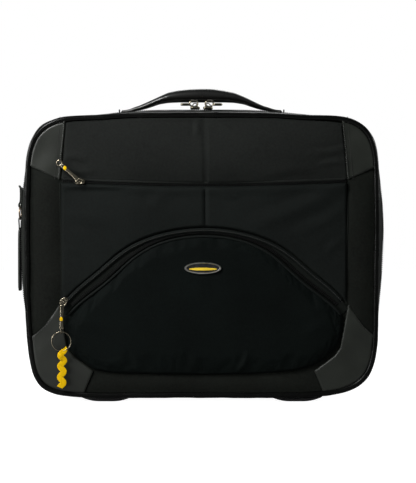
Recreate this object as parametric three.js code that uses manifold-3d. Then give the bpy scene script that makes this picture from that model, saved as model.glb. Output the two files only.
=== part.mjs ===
// A soft-sided rolling laptop case: sewn shell, hinged front door with pockets, telescopic trolley, wheels.
// Millimetres, +Z up, front towards -Y, origin on the ground under the middle of the case.
import * as THREE from "three";
import { mergeVertices } from "three/addons/utils/BufferGeometryUtils.js";
import Module from "manifold-3d";

const wasm = await Module();
wasm.setup();

// Driving dimensions.
const HALF_WIDTH = 215; // half of the front panel's width over its piping
const PANEL_BOTTOM = 8;
const PANEL_TOP = 352;
const MID_Z = (PANEL_BOTTOM + PANEL_TOP) / 2;
const HALF_HEIGHT = (PANEL_TOP - PANEL_BOTTOM) / 2;
const SQUARENESS = 6.5; // exponent of the rounded outline: 2 is an ellipse, 20 a sharp rectangle
const CROWN_SIDE = 11; // how far the gusset swells beyond the piping at the sides
const CROWN_TOP = 8; // and at the top
const HALF_DEPTH = 88; // gusset edge, before and behind the middle
const GAP = 0.3; // between pieces that touch
const SKIN = 2.7; // padded fabric thickness
const RING_STEPS = 56;
const ZIP_Y = -47; // middle of the main zip
const ZIP_HALF = 2.7;
const DOOR_CUT_Z = 48; // the door's gusset ends here, above the fixed base
const SEAM_X = 3; // the front panel's middle seam sits a little off the middle
const SEAM_LEFT = -170;
const SEAM_RIGHT = 176;
const FRONT_SKIN_Y = -92; // outer face of the front panel
const OVERLAY_Y = -94; // outer face of the pieces sewn on it
const POCKET_LINE_Z = 268;
const ARCH_CENTRE = { x: 4, z: 3 };
const ARCH_OUTER_R = 209;
const ARCH_INNER_R = 197;
const ARCH_SLIDER_R = 208;
const ARCH_FRONT_Y = -100.5;
const TROLLEY = { x: 75, y: 62, bottom: 20, bezelBottom: 340, bezelTop: 352 };
const WHEEL = { x: 151, y: 76, r: 27, width: 22, axleR: 3 };
const HOUSING = { x0: 130, x1: 172, y0: 45, y1: 98, z0: 9, z1: 66, wall: 2.2 };
const FOOT = { x: 116, width: 62, y0: -87.5, y1: -57.5, top: 6.8 };
const HANDLE_AXIS = { y: 8, z: 361 };
const HANDLE_END_R = 2.6;
const RING_WIRE = 0.9;

const model = new THREE.Group();

const finishes = {
  fabric: { color: 0x18191a, roughness: 0.9, metalness: 0 },
  panelFabric: { color: 0x202122, roughness: 0.9, metalness: 0 },
  leather: { color: 0x33342f, roughness: 0.5, metalness: 0 },
  piping: { color: 0x101010, roughness: 0.35, metalness: 0 },
  zip: { color: 0x0c0c0d, roughness: 0.6, metalness: 0 },
  board: { color: 0x3a3a3c, roughness: 0.8, metalness: 0 },
  plastic: { color: 0x151515, roughness: 0.5, metalness: 0 },
  gloss: { color: 0x0a0a0a, roughness: 0.2, metalness: 0 },
  aluminium: { color: 0xb5b7ba, roughness: 0.35, metalness: 1 },
  nickel: { color: 0xc9c0ae, roughness: 0.25, metalness: 1 },
  rubber: { color: 0x1c1c1c, roughness: 0.8, metalness: 0 },
  badge: { color: 0x8f9090, roughness: 0.3, metalness: 1 },
  yellow: { color: 0xe0b010, roughness: 0.8, metalness: 0 },
};

function add(name, geometry, finish) {
  const mesh = new THREE.Mesh(geometry, new THREE.MeshStandardMaterial(finishes[finish]));
  mesh.name = name;
  model.add(mesh);
}

// Booleans, through manifold-3d.
function toSolid(geometry) {
  const bare = geometry.index ? geometry.toNonIndexed() : geometry.clone();
  bare.deleteAttribute("normal");
  bare.deleteAttribute("uv");
  const merged = mergeVertices(bare, 1e-4);
  return new wasm.Manifold(
    new wasm.Mesh({
      numProp: 3,
      vertProperties: new Float32Array(merged.attributes.position.array),
      triVerts: new Uint32Array(merged.index.array),
    }),
  );
}

function toGeometry(solid) {
  const mesh = solid.getMesh();
  const geometry = new THREE.BufferGeometry();
  geometry.setAttribute("position", new THREE.BufferAttribute(mesh.vertProperties, 3));
  geometry.setIndex(new THREE.BufferAttribute(mesh.triVerts, 1));
  return geometry;
}

function cut(geometry, ...tools) {
  return toGeometry(tools.reduce((solid, tool) => solid.subtract(toSolid(tool)), toSolid(geometry)));
}

function join(...geometries) {
  return toGeometry(geometries.map(toSolid).reduce((solid, next) => solid.add(next)));
}

function keep(geometry, tool) {
  return toGeometry(toSolid(geometry).intersect(toSolid(tool)));
}

// Simple solids placed by their limits.
function block(x0, x1, y0, y1, z0, z1) {
  const geometry = new THREE.BoxGeometry(x1 - x0, y1 - y0, z1 - z0);
  return geometry.translate((x0 + x1) / 2, (y0 + y1) / 2, (z0 + z1) / 2);
}

function rodAlongX(radius, x0, x1, y, z, sides = 24) {
  const geometry = new THREE.CylinderGeometry(radius, radius, x1 - x0, sides);
  return geometry.rotateZ(Math.PI / 2).translate((x0 + x1) / 2, y, z);
}

function rodAlongY(radius, y0, y1, x, z, sides = 20) {
  return new THREE.CylinderGeometry(radius, radius, y1 - y0, sides).translate(x, (y0 + y1) / 2, z);
}

// A flat piece: an outline in X and Z given thickness from y0 (front) to y1 (back).
function plate(points, y0, y1, bevel = 0) {
  const shape = new THREE.Shape(points);
  const geometry = new THREE.ExtrudeGeometry(shape, {
    depth: y1 - y0 - 2 * bevel,
    bevelEnabled: bevel > 0,
    bevelSize: bevel,
    bevelThickness: bevel,
    bevelOffset: -bevel,
    bevelSegments: 2,
  });
  return geometry.rotateX(Math.PI / 2).translate(0, y1 - bevel, 0);
}

const at = (x, z) => new THREE.Vector2(x, z);

// The rounded outline at angle theta: half-axes grown by `grow`, squared off by SQUARENESS.
function outlinePoint(theta, grow) {
  const c = Math.cos(theta);
  const s = Math.sin(theta);
  const r = (Math.abs(c) ** SQUARENESS + Math.abs(s) ** SQUARENESS) ** (-1 / SQUARENESS);
  return at((HALF_WIDTH + grow) * r * c, MID_Z + (HALF_HEIGHT + grow) * r * s);
}

// Step i of the outline; the steps crowd together at the four corners.
function outlineAngle(i) {
  const t = (2 * Math.PI * i) / RING_STEPS;
  return t + 0.13 * Math.sin(4 * t);
}

function outlinePlate(inset, y0, y1) {
  const points = Array.from({ length: RING_STEPS }, (_, i) => outlinePoint(outlineAngle(i), -inset));
  return plate(points, y0, y1);
}

// The gusset's swelling: full at the middle of the sides and top, none at the corners, bottom and edges.
function swelling(theta, y) {
  const corner = Math.abs(Math.sin(2 * theta)) ** 3;
  const sideways = Math.cos(theta) ** 2;
  const crown = CROWN_SIDE * sideways + (Math.sin(theta) > 0 ? CROWN_TOP * (1 - sideways) : 0);
  return crown * (1 - corner) * Math.max(0, 1 - (y / HALF_DEPTH) ** 2);
}

// A closed profile of [y, inset] points carried once round the outline.
function ring(profile) {
  const positions = [];
  const n = profile.length;
  for (let i = 0; i < RING_STEPS; i++) {
    const theta = outlineAngle(i);
    for (const [y, inset] of profile) {
      const p = outlinePoint(theta, swelling(theta, y) - inset);
      positions.push(p.x, y, p.y);
    }
  }
  const index = [];
  for (let i = 0; i < RING_STEPS; i++) {
    for (let j = 0; j < n; j++) {
      const a = i * n + j;
      const b = i * n + ((j + 1) % n);
      const c = ((i + 1) % RING_STEPS) * n + j;
      const d = ((i + 1) % RING_STEPS) * n + ((j + 1) % n);
      index.push(a, b, d, a, d, c);
    }
  }
  const geometry = new THREE.BufferGeometry();
  geometry.setAttribute("position", new THREE.Float32BufferAttribute(positions, 3));
  geometry.setIndex(index);
  return geometry;
}

// A fabric band of the given thickness from y0 to y1, with `spans` straight pieces across it.
function band(y0, y1, thickness, spans) {
  const outside = [];
  const inside = [];
  for (let i = 0; i <= spans; i++) {
    const y = y0 + ((y1 - y0) * i) / spans;
    outside.push([y, 0]);
    inside.unshift([y, thickness]);
  }
  return ring([...outside, ...inside]);
}

function roundBand(y, radius, sides) {
  const profile = Array.from({ length: sides }, (_, i) => {
    const a = Math.PI - (2 * Math.PI * i) / sides;
    return [y + radius * Math.cos(a), radius - radius * Math.sin(a)];
  });
  return ring(profile);
}

const FAR = 400;
const above = (z) => block(-FAR, FAR, -FAR, FAR, z, 2 * FAR);
const below = (z) => block(-FAR, FAR, -FAR, FAR, -FAR, z);

// Case shell: rear gusset, base, back, boards.
const housingHole = (side) => {
  const [x0, x1] = [HOUSING.x0 - GAP, HOUSING.x1 + GAP].map((x) => x * side).sort((a, b) => a - b);
  return block(x0, x1, HOUSING.y0 - GAP, FAR, -FAR, HOUSING.z1 + GAP);
};
const BEZEL = { x: 98, y0: 49, y1: 75 };
const bezelHole = block(
  -BEZEL.x - GAP, BEZEL.x + GAP, BEZEL.y0 - GAP, BEZEL.y1 + GAP, TROLLEY.bezelBottom - GAP, FAR,
);
const bandRear = band(ZIP_Y + ZIP_HALF, HALF_DEPTH - GAP, SKIN, 4);
add("rear_gusset", cut(bandRear, housingHole(-1), housingHole(1), bezelHole), "fabric");
const bandBase = band(-HALF_DEPTH, ZIP_Y + ZIP_HALF - GAP, SKIN, 2);
add("base_panel", keep(bandBase, below(DOOR_CUT_Z - GAP)), "fabric");
add("back_panel", cut(outlinePlate(6.8, 86, 90), housingHole(-1), housingHole(1)), "fabric");
add("rear_piping", keep(roundBand(91.2, 3.2, 6), above(24)), "piping");
const innerPlate = (y0, y1, z0, z1) =>
  keep(outlinePlate(13, y0, y1), block(-FAR, FAR, -FAR, FAR, z0, z1));
add("divider_panel", innerPlate(8, 11, 22, 280), "board");
add("back_board", innerPlate(41.2, 44.2, 22, 330), "board");
add("floor_board", block(-118, 118, -40, 38, 13, 16), "board");
const bandZip = band(ZIP_Y - ZIP_HALF + GAP, ZIP_Y + ZIP_HALF - GAP, 1.6, 1);
add("main_zip", keep(bandZip, above(DOOR_CUT_Z)), "zip");

// Front door: gusset, panel, piping and everything sewn on it.
const bandFront = band(-HALF_DEPTH, ZIP_Y - ZIP_HALF, SKIN, 2);
add("front_gusset", keep(bandFront, above(DOOR_CUT_Z)), "fabric");
add("front_panel", outlinePlate(7.4, FRONT_SKIN_Y, -88.3), "fabric");
add("front_piping", roundBand(-92, 3.5, 8), "piping");
const overlay = (points) => {
  const region = plate(points, OVERLAY_Y, FRONT_SKIN_Y - GAP);
  return keep(region, outlinePlate(8, -FAR, FAR));
};
const across = (side, points) => {
  const placed = points.map(([x, z]) => at(side < 0 ? x : 2 * SEAM_X - x, z));
  return side < 0 ? placed : placed.reverse();
};
const upperPatch = [
  [-230, 286], [-206, 285], [-189, 277.5], [-171, 270.5], [-168.5, 305], [-164.5, 360], [-230, 360],
];
const lowerPatch = [
  [-230, 62], [-212, 73], [-193, 90], [-172, 118], [-170.5, 100], [-163, 66],
  [-146, 50], [-131, 40], [-137, 25], [-142, 0], [-230, 0],
];
for (const [side, word] of [[-1, "left"], [1, "right"]]) {
  add(`upper_corner_patch_${word}`, overlay(across(side, upperPatch).reverse()), "leather");
  add(`lower_corner_patch_${word}`, overlay(across(side, lowerPatch)), "leather");
}

// Points on a circle about the arch's centre, from one angle to another in degrees.
function arc(radius, from, to, count) {
  return Array.from({ length: count + 1 }, (_, i) => {
    const a = THREE.MathUtils.degToRad(from + ((to - from) * i) / count);
    return at(ARCH_CENTRE.x + radius * Math.cos(a), ARCH_CENTRE.z + radius * Math.sin(a));
  });
}
const PANEL_GAP = 2; // each panel's edge from the pocket line, with the zip between them
const upperPanel = [
  at(SEAM_LEFT + 1, POCKET_LINE_Z + PANEL_GAP),
  at(SEAM_RIGHT - 1, POCKET_LINE_Z + PANEL_GAP),
  at(SEAM_RIGHT - 7, 360),
  at(SEAM_LEFT + 6.5, 360),
];
add("upper_panel", overlay(upperPanel), "panelFabric");
const middlePanel = [
  at(SEAM_LEFT, POCKET_LINE_Z - PANEL_GAP),
  ...arc(ARCH_OUTER_R + GAP, 145, 35, 20),
  at(SEAM_RIGHT, POCKET_LINE_Z - PANEL_GAP),
];
add("middle_panel", overlay(middlePanel), "panelFabric");
const TAPE_FRONT_Y = -95.5; // outer face of the zips sewn on the panel
const TAPE_HALF = 1.6;
const pocketTape = block(
  SEAM_LEFT + 2, SEAM_RIGHT - 2, TAPE_FRONT_Y, FRONT_SKIN_Y - GAP,
  POCKET_LINE_Z - TAPE_HALF, POCKET_LINE_Z + TAPE_HALF,
);
add("pocket_zip", pocketTape, "zip");
const zipBand = [...arc(ARCH_OUTER_R, 144.5, 35.5, 20), ...arc(ARCH_INNER_R, 36.5, 143.5, 20)];
add("arch_zip", plate(zipBand, TAPE_FRONT_Y, FRONT_SKIN_Y - GAP), "zip");
const POCKET_EDGE = 3.5; // bevel round the swollen pocket
const archPocket = [
  ...arc(ARCH_INNER_R - GAP, 31.5, 148.5, 20),
  at(-166, 84), at(-159, 66), at(-144, 51), at(-126, 41), at(-97, 36), at(0, 34),
  at(100, 36), at(132, 42), at(152, 52), at(166, 68), at(172, 84),
];
add("arch_pocket_panel", plate(archPocket, ARCH_FRONT_Y, FRONT_SKIN_Y - GAP, POCKET_EDGE), "panelFabric");
const BADGE = { x: 2, z: 163, a: 22.5, b: 7.3 };
const badgeOval = Array.from({ length: 28 }, (_, i) => {
  const t = (2 * Math.PI * i) / 28;
  return at(BADGE.x + BADGE.a * Math.cos(t), BADGE.z + BADGE.b * Math.sin(t));
});
add("badge", plate(badgeOval, ARCH_FRONT_Y - 2.6, ARCH_FRONT_Y - GAP, 1), "badge");
add("organiser_panel", keep(outlinePlate(14, -84, -82), block(-FAR, FAR, -FAR, FAR, 60, 250)), "board");

// Trolley: outer tubes fixed in the case, two telescopic stages, grip and release button.
function tube(side, width, depth, wall, z0, z1) {
  const x = side * TROLLEY.x;
  const bar = (w, d, from, to) => block(x - w, x + w, TROLLEY.y - d, TROLLEY.y + d, from, to);
  const outer = bar(width / 2, depth / 2, z0, z1);
  return cut(outer, bar(width / 2 - wall, depth / 2 - wall, z0 - 1, z1 + 1));
}
const bezelBlock = block(-BEZEL.x, BEZEL.x, BEZEL.y0, BEZEL.y1, TROLLEY.bezelBottom, TROLLEY.bezelTop);
const TUBE_HOLE = { halfX: 10.4, halfY: 5.9 }; // clear of the middle tube, narrower than the outer one
const tubeHole = (side) => {
  const x = side * TROLLEY.x;
  const { halfX, halfY } = TUBE_HOLE;
  return block(x - halfX, x + halfX, TROLLEY.y - halfY, TROLLEY.y + halfY, 300, FAR);
};
add("trolley_bezel", cut(bezelBlock, tubeHole(-1), tubeHole(1)), "plastic");
add("trolley_base_bracket", block(-90, 90, 52, 72, 13, TROLLEY.bottom - GAP), "plastic");
for (const [side, word] of [[-1, "left"], [1, "right"]]) {
  add(`trolley_outer_tube_${word}`, tube(side, 22, 13, 1, TROLLEY.bottom, TROLLEY.bezelBottom - GAP), "aluminium");
  add(`trolley_middle_tube_${word}`, tube(side, 19.2, 10.2, 1.2, TROLLEY.bottom + 0.6, 351.5), "aluminium");
  add(`trolley_inner_tube_${word}`, tube(side, 16, 7, 1, TROLLEY.bottom + 1, 352), "aluminium");
}
const GRIP = { x: 90, y0: 51.5, y1: 72.5, z0: 352.3, z1: 362 };
const gripShape = [
  at(-GRIP.x, GRIP.z0), at(GRIP.x, GRIP.z0), at(GRIP.x, GRIP.z1 - 3),
  at(GRIP.x - 4, GRIP.z1), at(-GRIP.x + 4, GRIP.z1), at(-GRIP.x, GRIP.z1 - 3),
];
const gripBar = plate(gripShape, GRIP.y0, GRIP.y1);
add("trolley_grip", cut(gripBar, block(-14.5, 14.5, 55.5, 68.5, 355, FAR)), "gloss");
add("trolley_button", block(-14, 14, 56, 68, 358.4, 363.2), "plastic");

// Wheels in their housings, at the lower rear corners.
for (const [side, word] of [[-1, "left"], [1, "right"]]) {
  const mirror = (x0, x1) => (side < 0 ? [-x1, -x0] : [x0, x1]);
  const [hx0, hx1] = mirror(HOUSING.x0, HOUSING.x1);
  const shell = block(hx0, hx1, HOUSING.y0, HOUSING.y1, HOUSING.z0, HOUSING.z1);
  const [cx0, cx1] = mirror(HOUSING.x0 + 6, HOUSING.x1 - 6);
  const cavity = block(cx0, cx1, HOUSING.y0 + HOUSING.wall, FAR, -FAR, HOUSING.z1 - HOUSING.wall);
  const bore = rodAlongX(WHEEL.axleR + GAP, hx0 - 1, hx1 + 1, WHEEL.y, WHEEL.r);
  add(`wheel_housing_${word}`, cut(shell, cavity, bore), "plastic");
  add(`wheel_axle_${word}`, rodAlongX(WHEEL.axleR, hx0 + 0.5, hx1 - 0.5, WHEEL.y, WHEEL.r), "nickel");
  const x = side * WHEEL.x;
  const turn = (profile) => {
    const points = profile.map(([r, along]) => at(r, along));
    points.push(points[0].clone());
    return new THREE.LatheGeometry(points, 32).rotateZ(-Math.PI / 2).translate(x, WHEEL.y, WHEEL.r);
  };
  const hubR = 19.6;
  const boreR = WHEEL.axleR + GAP;
  add(`wheel_hub_${word}`, turn([[boreR, -10.5], [hubR, -9], [hubR, 9], [boreR, 10.5]]), "plastic");
  const half = WHEEL.width / 2;
  add(
    `wheel_tyre_${word}`,
    turn([[hubR + GAP, -half], [WHEEL.r - 2.5, -half], [WHEEL.r, -half + 3], [WHEEL.r, half - 3],
      [WHEEL.r - 2.5, half], [hubR + GAP, half]]),
    "rubber",
  );
}

// Carry handle: oval sections along X, [x, centre z, half height, half width]; its ends turn in two anchors.
const handleHalf = [
  [104, HANDLE_AXIS.z, HANDLE_END_R, HANDLE_END_R], [86, HANDLE_AXIS.z, HANDLE_END_R, HANDLE_END_R],
  [78, 363.8, 3.2, 5.5], [67, 368.6, 4.1, 9], [54, 374, 4.8, 12], [42, 377.8, 6.4, 13],
  [29, 379.3, 7.5, 13], [15, 380.3, 8.6, 13], [0, 380.5, 8.8, 13],
];
const handleStations = [
  ...handleHalf.map(([x, ...rest]) => [-x, ...rest]),
  ...handleHalf.slice(0, -1).reverse(),
];
function loft(stations, y, sides) {
  const positions = [];
  for (const [x, z, halfHeight, halfWidth] of stations) {
    for (let j = 0; j < sides; j++) {
      const a = (2 * Math.PI * j) / sides;
      positions.push(x, y + halfWidth * Math.cos(a), z + halfHeight * Math.sin(a));
    }
  }
  const index = [];
  const last = stations.length - 1;
  for (let j = 0; j < sides; j++) {
    const k = (j + 1) % sides;
    for (let i = 0; i < last; i++) {
      const [a, b, c, d] = [i * sides + j, i * sides + k, (i + 1) * sides + j, (i + 1) * sides + k];
      index.push(a, b, d, a, d, c);
    }
    if (j > 0 && j < sides - 1) {
      index.push(0, j + 1, j, last * sides, last * sides + j, last * sides + j + 1);
    }
  }
  const geometry = new THREE.BufferGeometry();
  geometry.setAttribute("position", new THREE.Float32BufferAttribute(positions, 3));
  geometry.setIndex(index);
  return geometry;
}
add("carry_handle", loft(handleStations, HANDLE_AXIS.y, 12), "gloss");
for (const [side, word] of [[-1, "left"], [1, "right"]]) {
  const [x0, x1] = side < 0 ? [-108, -92] : [92, 108];
  const foot = block(x0, x1, HANDLE_AXIS.y - 10, HANDLE_AXIS.y + 10, 357.2, 358.1);
  const [e0, e1] = side < 0 ? [-108, -104.4] : [104.4, 108];
  const ear = block(e0, e1, HANDLE_AXIS.y - 5, HANDLE_AXIS.y + 5, 357.4, 365);
  add(`handle_anchor_${word}`, join(foot, ear), "leather");
}

// Feet under the front of the base.
for (const [side, word] of [[-1, "left"], [1, "right"]]) {
  const x0 = side * FOOT.x - FOOT.width / 2;
  const x1 = side * FOOT.x + FOOT.width / 2;
  const profile = [at(x0, FOOT.top), at(x0 + 8, 0), at(x1 - 8, 0), at(x1, FOOT.top)];
  add(`front_foot_${word}`, plate(profile, FOOT.y0, FOOT.y1), "gloss");
}

// Arch zip slider with its puller, split ring and ribbon.
const START = THREE.MathUtils.degToRad(145);
const SLIDER = {
  x: ARCH_CENTRE.x + ARCH_SLIDER_R * Math.cos(START),
  z: ARCH_CENTRE.z + ARCH_SLIDER_R * Math.sin(START),
};
const SLIDER_Y = -97.6; // middle of a slider's body, on the tape
const archBody = new THREE.BoxGeometry(12, 3.5, 8)
  .rotateY(THREE.MathUtils.degToRad(-55))
  .translate(SLIDER.x, SLIDER_Y, SLIDER.z);
const archBridge = block(-1.4, 1.4, -105.6, -98, -1.6, 1.6).translate(SLIDER.x, 0, SLIDER.z);
add("arch_slider", join(archBody, archBridge), "nickel");
const PULL_Y = -104.4;
const PULL_X = SLIDER.x - 2.6;
const pullHoop = cut(
  plate([at(-4.6, -4.6), at(4.6, -4.6), at(4.6, 4.6), at(-4.6, 4.6)], PULL_Y - 0.8, PULL_Y + 0.8),
  block(-2.6, 2.6, -FAR, FAR, -2.6, 2.6),
).translate(SLIDER.x, 0, SLIDER.z);
const pullBar = block(PULL_X - 3, PULL_X + 3, PULL_Y - 0.8, PULL_Y + 0.8, 89.2, SLIDER.z - 3.6);
const pullEye = new THREE.TorusGeometry(2.6, 0.8, 6, 16).rotateY(Math.PI / 2).translate(PULL_X, PULL_Y, 86.6);
add("arch_puller", join(pullHoop, pullBar, pullEye), "nickel");
const KEY_RING = { x: PULL_X, z: 74.6, r: 11.6 };
const keyRing = new THREE.TorusGeometry(KEY_RING.r, RING_WIRE, 8, 32).rotateX(Math.PI / 2);
add("key_ring", keyRing.translate(KEY_RING.x, PULL_Y, KEY_RING.z), "nickel");
const RIBBON = { x: PULL_X + 1.5, top: 60, bottom: 19, swing: 2.2, half: 3.5, lean: -1.2, waves: 3.6 };
const ribbonEdge = (side) =>
  Array.from({ length: 29 }, (_, i) => {
    const t = i / 28;
    const wave = RIBBON.swing * Math.sin(2 * Math.PI * RIBBON.waves * t);
    const x = RIBBON.x + RIBBON.lean * t + wave + side * RIBBON.half;
    return at(x, RIBBON.top + (RIBBON.bottom - RIBBON.top) * t);
  });
add("ribbon", plate([...ribbonEdge(-1), ...ribbonEdge(1).reverse()], PULL_Y - 0.6, PULL_Y + 0.6), "yellow");

// Pocket zip slider with its puller, which lies up and to the left.
const POCKET_SLIDER_X = -147;
const pocketBody = block(-6, 6, -1.75, 1.75, -4, 4).translate(POCKET_SLIDER_X, SLIDER_Y, POCKET_LINE_Z);
const pocketBridge = block(-1.4, 1.4, -103.6, -98, -1.6, 1.6).translate(POCKET_SLIDER_X, 0, POCKET_LINE_Z);
add("pocket_slider", join(pocketBody, pocketBridge), "nickel");
const pocketPull = cut(
  join(block(-4.6, 4.6, -103.2, -101.8, -4.6, 4.6), block(-35, -4, -103.2, -101.8, -3, 3)),
  block(-2.6, 2.6, -FAR, FAR, -2.6, 2.6),
  rodAlongY(1.6, -FAR, FAR, -31.5, 0, 12),
);
add(
  "pocket_puller",
  pocketPull.rotateY(THREE.MathUtils.degToRad(42)).translate(POCKET_SLIDER_X, 0, POCKET_LINE_Z),
  "nickel",
);

// Main zip sliders, which meet under the handle, and their pullers.
for (const [side, word] of [[-1, "left"], [1, "right"]]) {
  const [x0, x1] = side < 0 ? [-14, -2] : [2, 14];
  const body = block(x0, x1, ZIP_Y - 5, ZIP_Y + 5, 358.6, 362);
  const bridge = block(side * 8 - 1.4, side * 8 + 1.4, ZIP_Y - 1.4, ZIP_Y + 1.4, 361.6, 367);
  add(`main_slider_${word}`, join(body, bridge), "nickel");
  const [p0, p1] = side < 0 ? [-26, -4.5] : [4.5, 26];
  const [h0, h1] = side < 0 ? [-10.4, -5.6] : [5.6, 10.4];
  const bar = block(p0, p1, ZIP_Y - 3.6, ZIP_Y + 3.6, 363.6, 365.1);
  add(`main_puller_${word}`, cut(bar, block(h0, h1, ZIP_Y - 2, ZIP_Y + 2, 300, FAR)), "nickel");
}

// Ring tab on the left side, its oval ring and the leather tag that hangs from it.
const TAB = { x: -229, z: 240, y: 0 };
const tabPlate = block(-228.6, -226.9, -8, 8, TAB.z - 1, 262);
const tabPoint = block(-231, -226.9, -3, 3, 261, 266);
const tabLoop = cut(
  join(tabPlate, tabPoint, rodAlongY(2.9, -5, 5, TAB.x, TAB.z, 16)),
  rodAlongY(2, -FAR, FAR, TAB.x, TAB.z, 16),
);
add("side_tab", tabLoop, "leather");
const OVAL = { half: 12.5, height: 8.3, wire: 1.1 };
const ovalRing = new THREE.TorusGeometry(OVAL.half, OVAL.wire, 8, 28)
  .scale(OVAL.height / OVAL.half, 1, 1)
  .rotateY(Math.PI / 2);
add("side_ring", ovalRing.translate(TAB.x, TAB.y, TAB.z - OVAL.height), "nickel");
const TAG_EYE_Z = TAB.z - 2 * OVAL.height + 0.2;
const tag = cut(
  join(
    block(-230.8, -227.8, -14, 14, 133, 213),
    block(-230.6, -228, -5, 5, 212, TAG_EYE_Z),
    rodAlongY(2.9, -4, 4, TAB.x, TAG_EYE_Z, 16),
  ),
  rodAlongY(2, -FAR, FAR, TAB.x, TAG_EYE_Z, 16),
);
add("id_tag", tag, "leather");

export default model;
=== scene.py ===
import math

import bmesh
import bpy
import numpy as np
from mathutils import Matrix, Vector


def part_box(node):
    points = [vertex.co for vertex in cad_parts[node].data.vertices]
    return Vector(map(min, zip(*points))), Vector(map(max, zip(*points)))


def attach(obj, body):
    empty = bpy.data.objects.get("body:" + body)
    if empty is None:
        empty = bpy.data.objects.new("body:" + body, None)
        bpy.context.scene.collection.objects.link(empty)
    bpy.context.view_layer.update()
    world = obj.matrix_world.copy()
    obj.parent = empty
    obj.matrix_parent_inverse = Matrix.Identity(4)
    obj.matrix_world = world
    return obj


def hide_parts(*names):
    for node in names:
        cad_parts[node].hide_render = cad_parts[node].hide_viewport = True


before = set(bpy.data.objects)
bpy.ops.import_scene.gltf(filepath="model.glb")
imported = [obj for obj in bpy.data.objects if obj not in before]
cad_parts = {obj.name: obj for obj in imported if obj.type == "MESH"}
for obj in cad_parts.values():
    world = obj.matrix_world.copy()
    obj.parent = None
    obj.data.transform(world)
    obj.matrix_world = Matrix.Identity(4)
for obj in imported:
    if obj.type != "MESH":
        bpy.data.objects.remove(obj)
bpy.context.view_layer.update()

# The studio: white surroundings, a pale floor and soft boxes. The main one
# hangs close above and in front of the top edge, a little to the left, so
# the cloth darkens from the top panel down to the pocket and to the right;
# the panels' nylon copies paint more of that fall-off in as shade.
world = bpy.data.worlds.new("studio")
bpy.context.scene.world = world
bpy.context.scene.view_settings.view_transform = "Standard"
world.use_nodes = True
sky = world.node_tree.nodes
sky.clear()
seen, ambient = sky.new("ShaderNodeBackground"), sky.new("ShaderNodeBackground")
seen.inputs["Color"].default_value = (1, 1, 1, 1)
ambient.inputs["Color"].default_value = (0.93, 1, 0.98, 1)
ambient.inputs["Strength"].default_value = 0.14
ray, mix, sky_out = (
    sky.new(k) for k in ("ShaderNodeLightPath", "ShaderNodeMixShader", "ShaderNodeOutputWorld")
)
world.node_tree.links.new(ray.outputs["Is Camera Ray"], mix.inputs["Fac"])
world.node_tree.links.new(ambient.outputs[0], mix.inputs[1])
world.node_tree.links.new(seen.outputs[0], mix.inputs[2])
world.node_tree.links.new(mix.outputs[0], sky_out.inputs["Surface"])


def soft_box(name, place, aim, size, power):
    """A round area light at `place` in metres, turned so that
    its -Z axis points at `aim`; the camera can't see it."""
    light = bpy.data.lights.new(name, "AREA")
    light.shape, light.size, light.energy = "DISK", size, power
    lamp = bpy.data.objects.new(name, light)
    bpy.context.collection.objects.link(lamp)
    lamp.location = place
    direction = np.array(aim) - np.array(place)
    yaw = math.atan2(direction[1], direction[0])
    flat = math.hypot(direction[0], direction[1])
    lamp.rotation_euler = (math.pi / 2 + math.atan2(direction[2], flat), 0, yaw - math.pi / 2)
    lamp.visible_camera = False
    return lamp


soft_box("main_box", (-0.54, -0.68, 0.84), (-0.06, -0.08, 0.3), 0.3, 8.8)
soft_box("left_box", (-1.5, -1.0, 0.6), (-0.1, 0, 0.2), 0.6, 11)
soft_box("right_box", (1.4, -0.7, 0.6), (0.1, 0, 0.2), 0.6, 0.8)
soft_box("left_side_box", (-1.6, 0.4, 0.75), (-0.2, 0.05, 0.2), 0.7, 14)
soft_box("right_side_box", (1.6, 0.4, 0.75), (0.2, 0.05, 0.2), 0.7, 14)
soft_box("foot_box", (-0.5, -0.8, 0.03), (-0.116, -0.07, 0.004), 0.12, 0.35)
soft_box("back_box", (0.3, 1.6, 1.3), (0, 0, 0.2), 1.2, 9)

bpy.ops.mesh.primitive_plane_add(size=14, location=(0, 3, 0))
floor = bpy.context.object
floor.name = "studio_floor"
paint = bpy.data.materials.new("studio_floor_paint")
paint.use_nodes = True
floor_nodes, floor_links = paint.node_tree.nodes, paint.node_tree.links
floor_shader = floor_nodes["Principled BSDF"]
floor_shader.inputs["Base Color"].default_value = (0.3, 0.3, 0.3, 1)
floor_shader.inputs["Roughness"].default_value = 0.9
white = floor_nodes.new("ShaderNodeEmission")
white.inputs["Strength"].default_value = 0.985
eye_ray, both, pick = (
    floor_nodes.new(k) for k in ("ShaderNodeLightPath", "ShaderNodeAddShader", "ShaderNodeMixShader")
)
floor_links.new(white.outputs[0], both.inputs[0])
floor_links.new(floor_shader.outputs[0], both.inputs[1])
floor_links.new(eye_ray.outputs["Is Camera Ray"], pick.inputs[0])
floor_links.new(floor_shader.outputs[0], pick.inputs[1])
floor_links.new(both.outputs[0], pick.inputs[2])
floor_links.new(pick.outputs[0], floor_nodes["Material Output"].inputs["Surface"])
floor.data.materials.append(paint)

# The camera: square on to the front panel, a little above the middle of the case, with a long lens.
MM = 0.001
FRONT_PLANE = -94 * MM
DISTANCE = 2.2
EYE_X, EYE_HEIGHT, LENS = 0.0081, 0.1952, 135.2
camera = bpy.data.objects.new("camera", bpy.data.cameras.new("camera"))
bpy.context.collection.objects.link(camera)
camera.location = (EYE_X, FRONT_PLANE - DISTANCE, EYE_HEIGHT)
camera.rotation_euler = (math.pi / 2, 0, 0)
camera.data.sensor_width = 36
camera.data.lens = LENS
bpy.context.scene.camera = camera


# The shell: a band of ballistic nylon over foam goes right round the case. The back two thirds belong to
# the case, the front third to the door, and a strip at the bottom, below the zip, is the hinge panel.
MIDDLE, HALF_WIDE, HALF_HIGH, SQUARENESS = 178.6, 215, 173.4, 7.1
CROWN_SIDE, CROWN_TOP, HALF_DEPTH = 11, 8, 88


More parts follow.
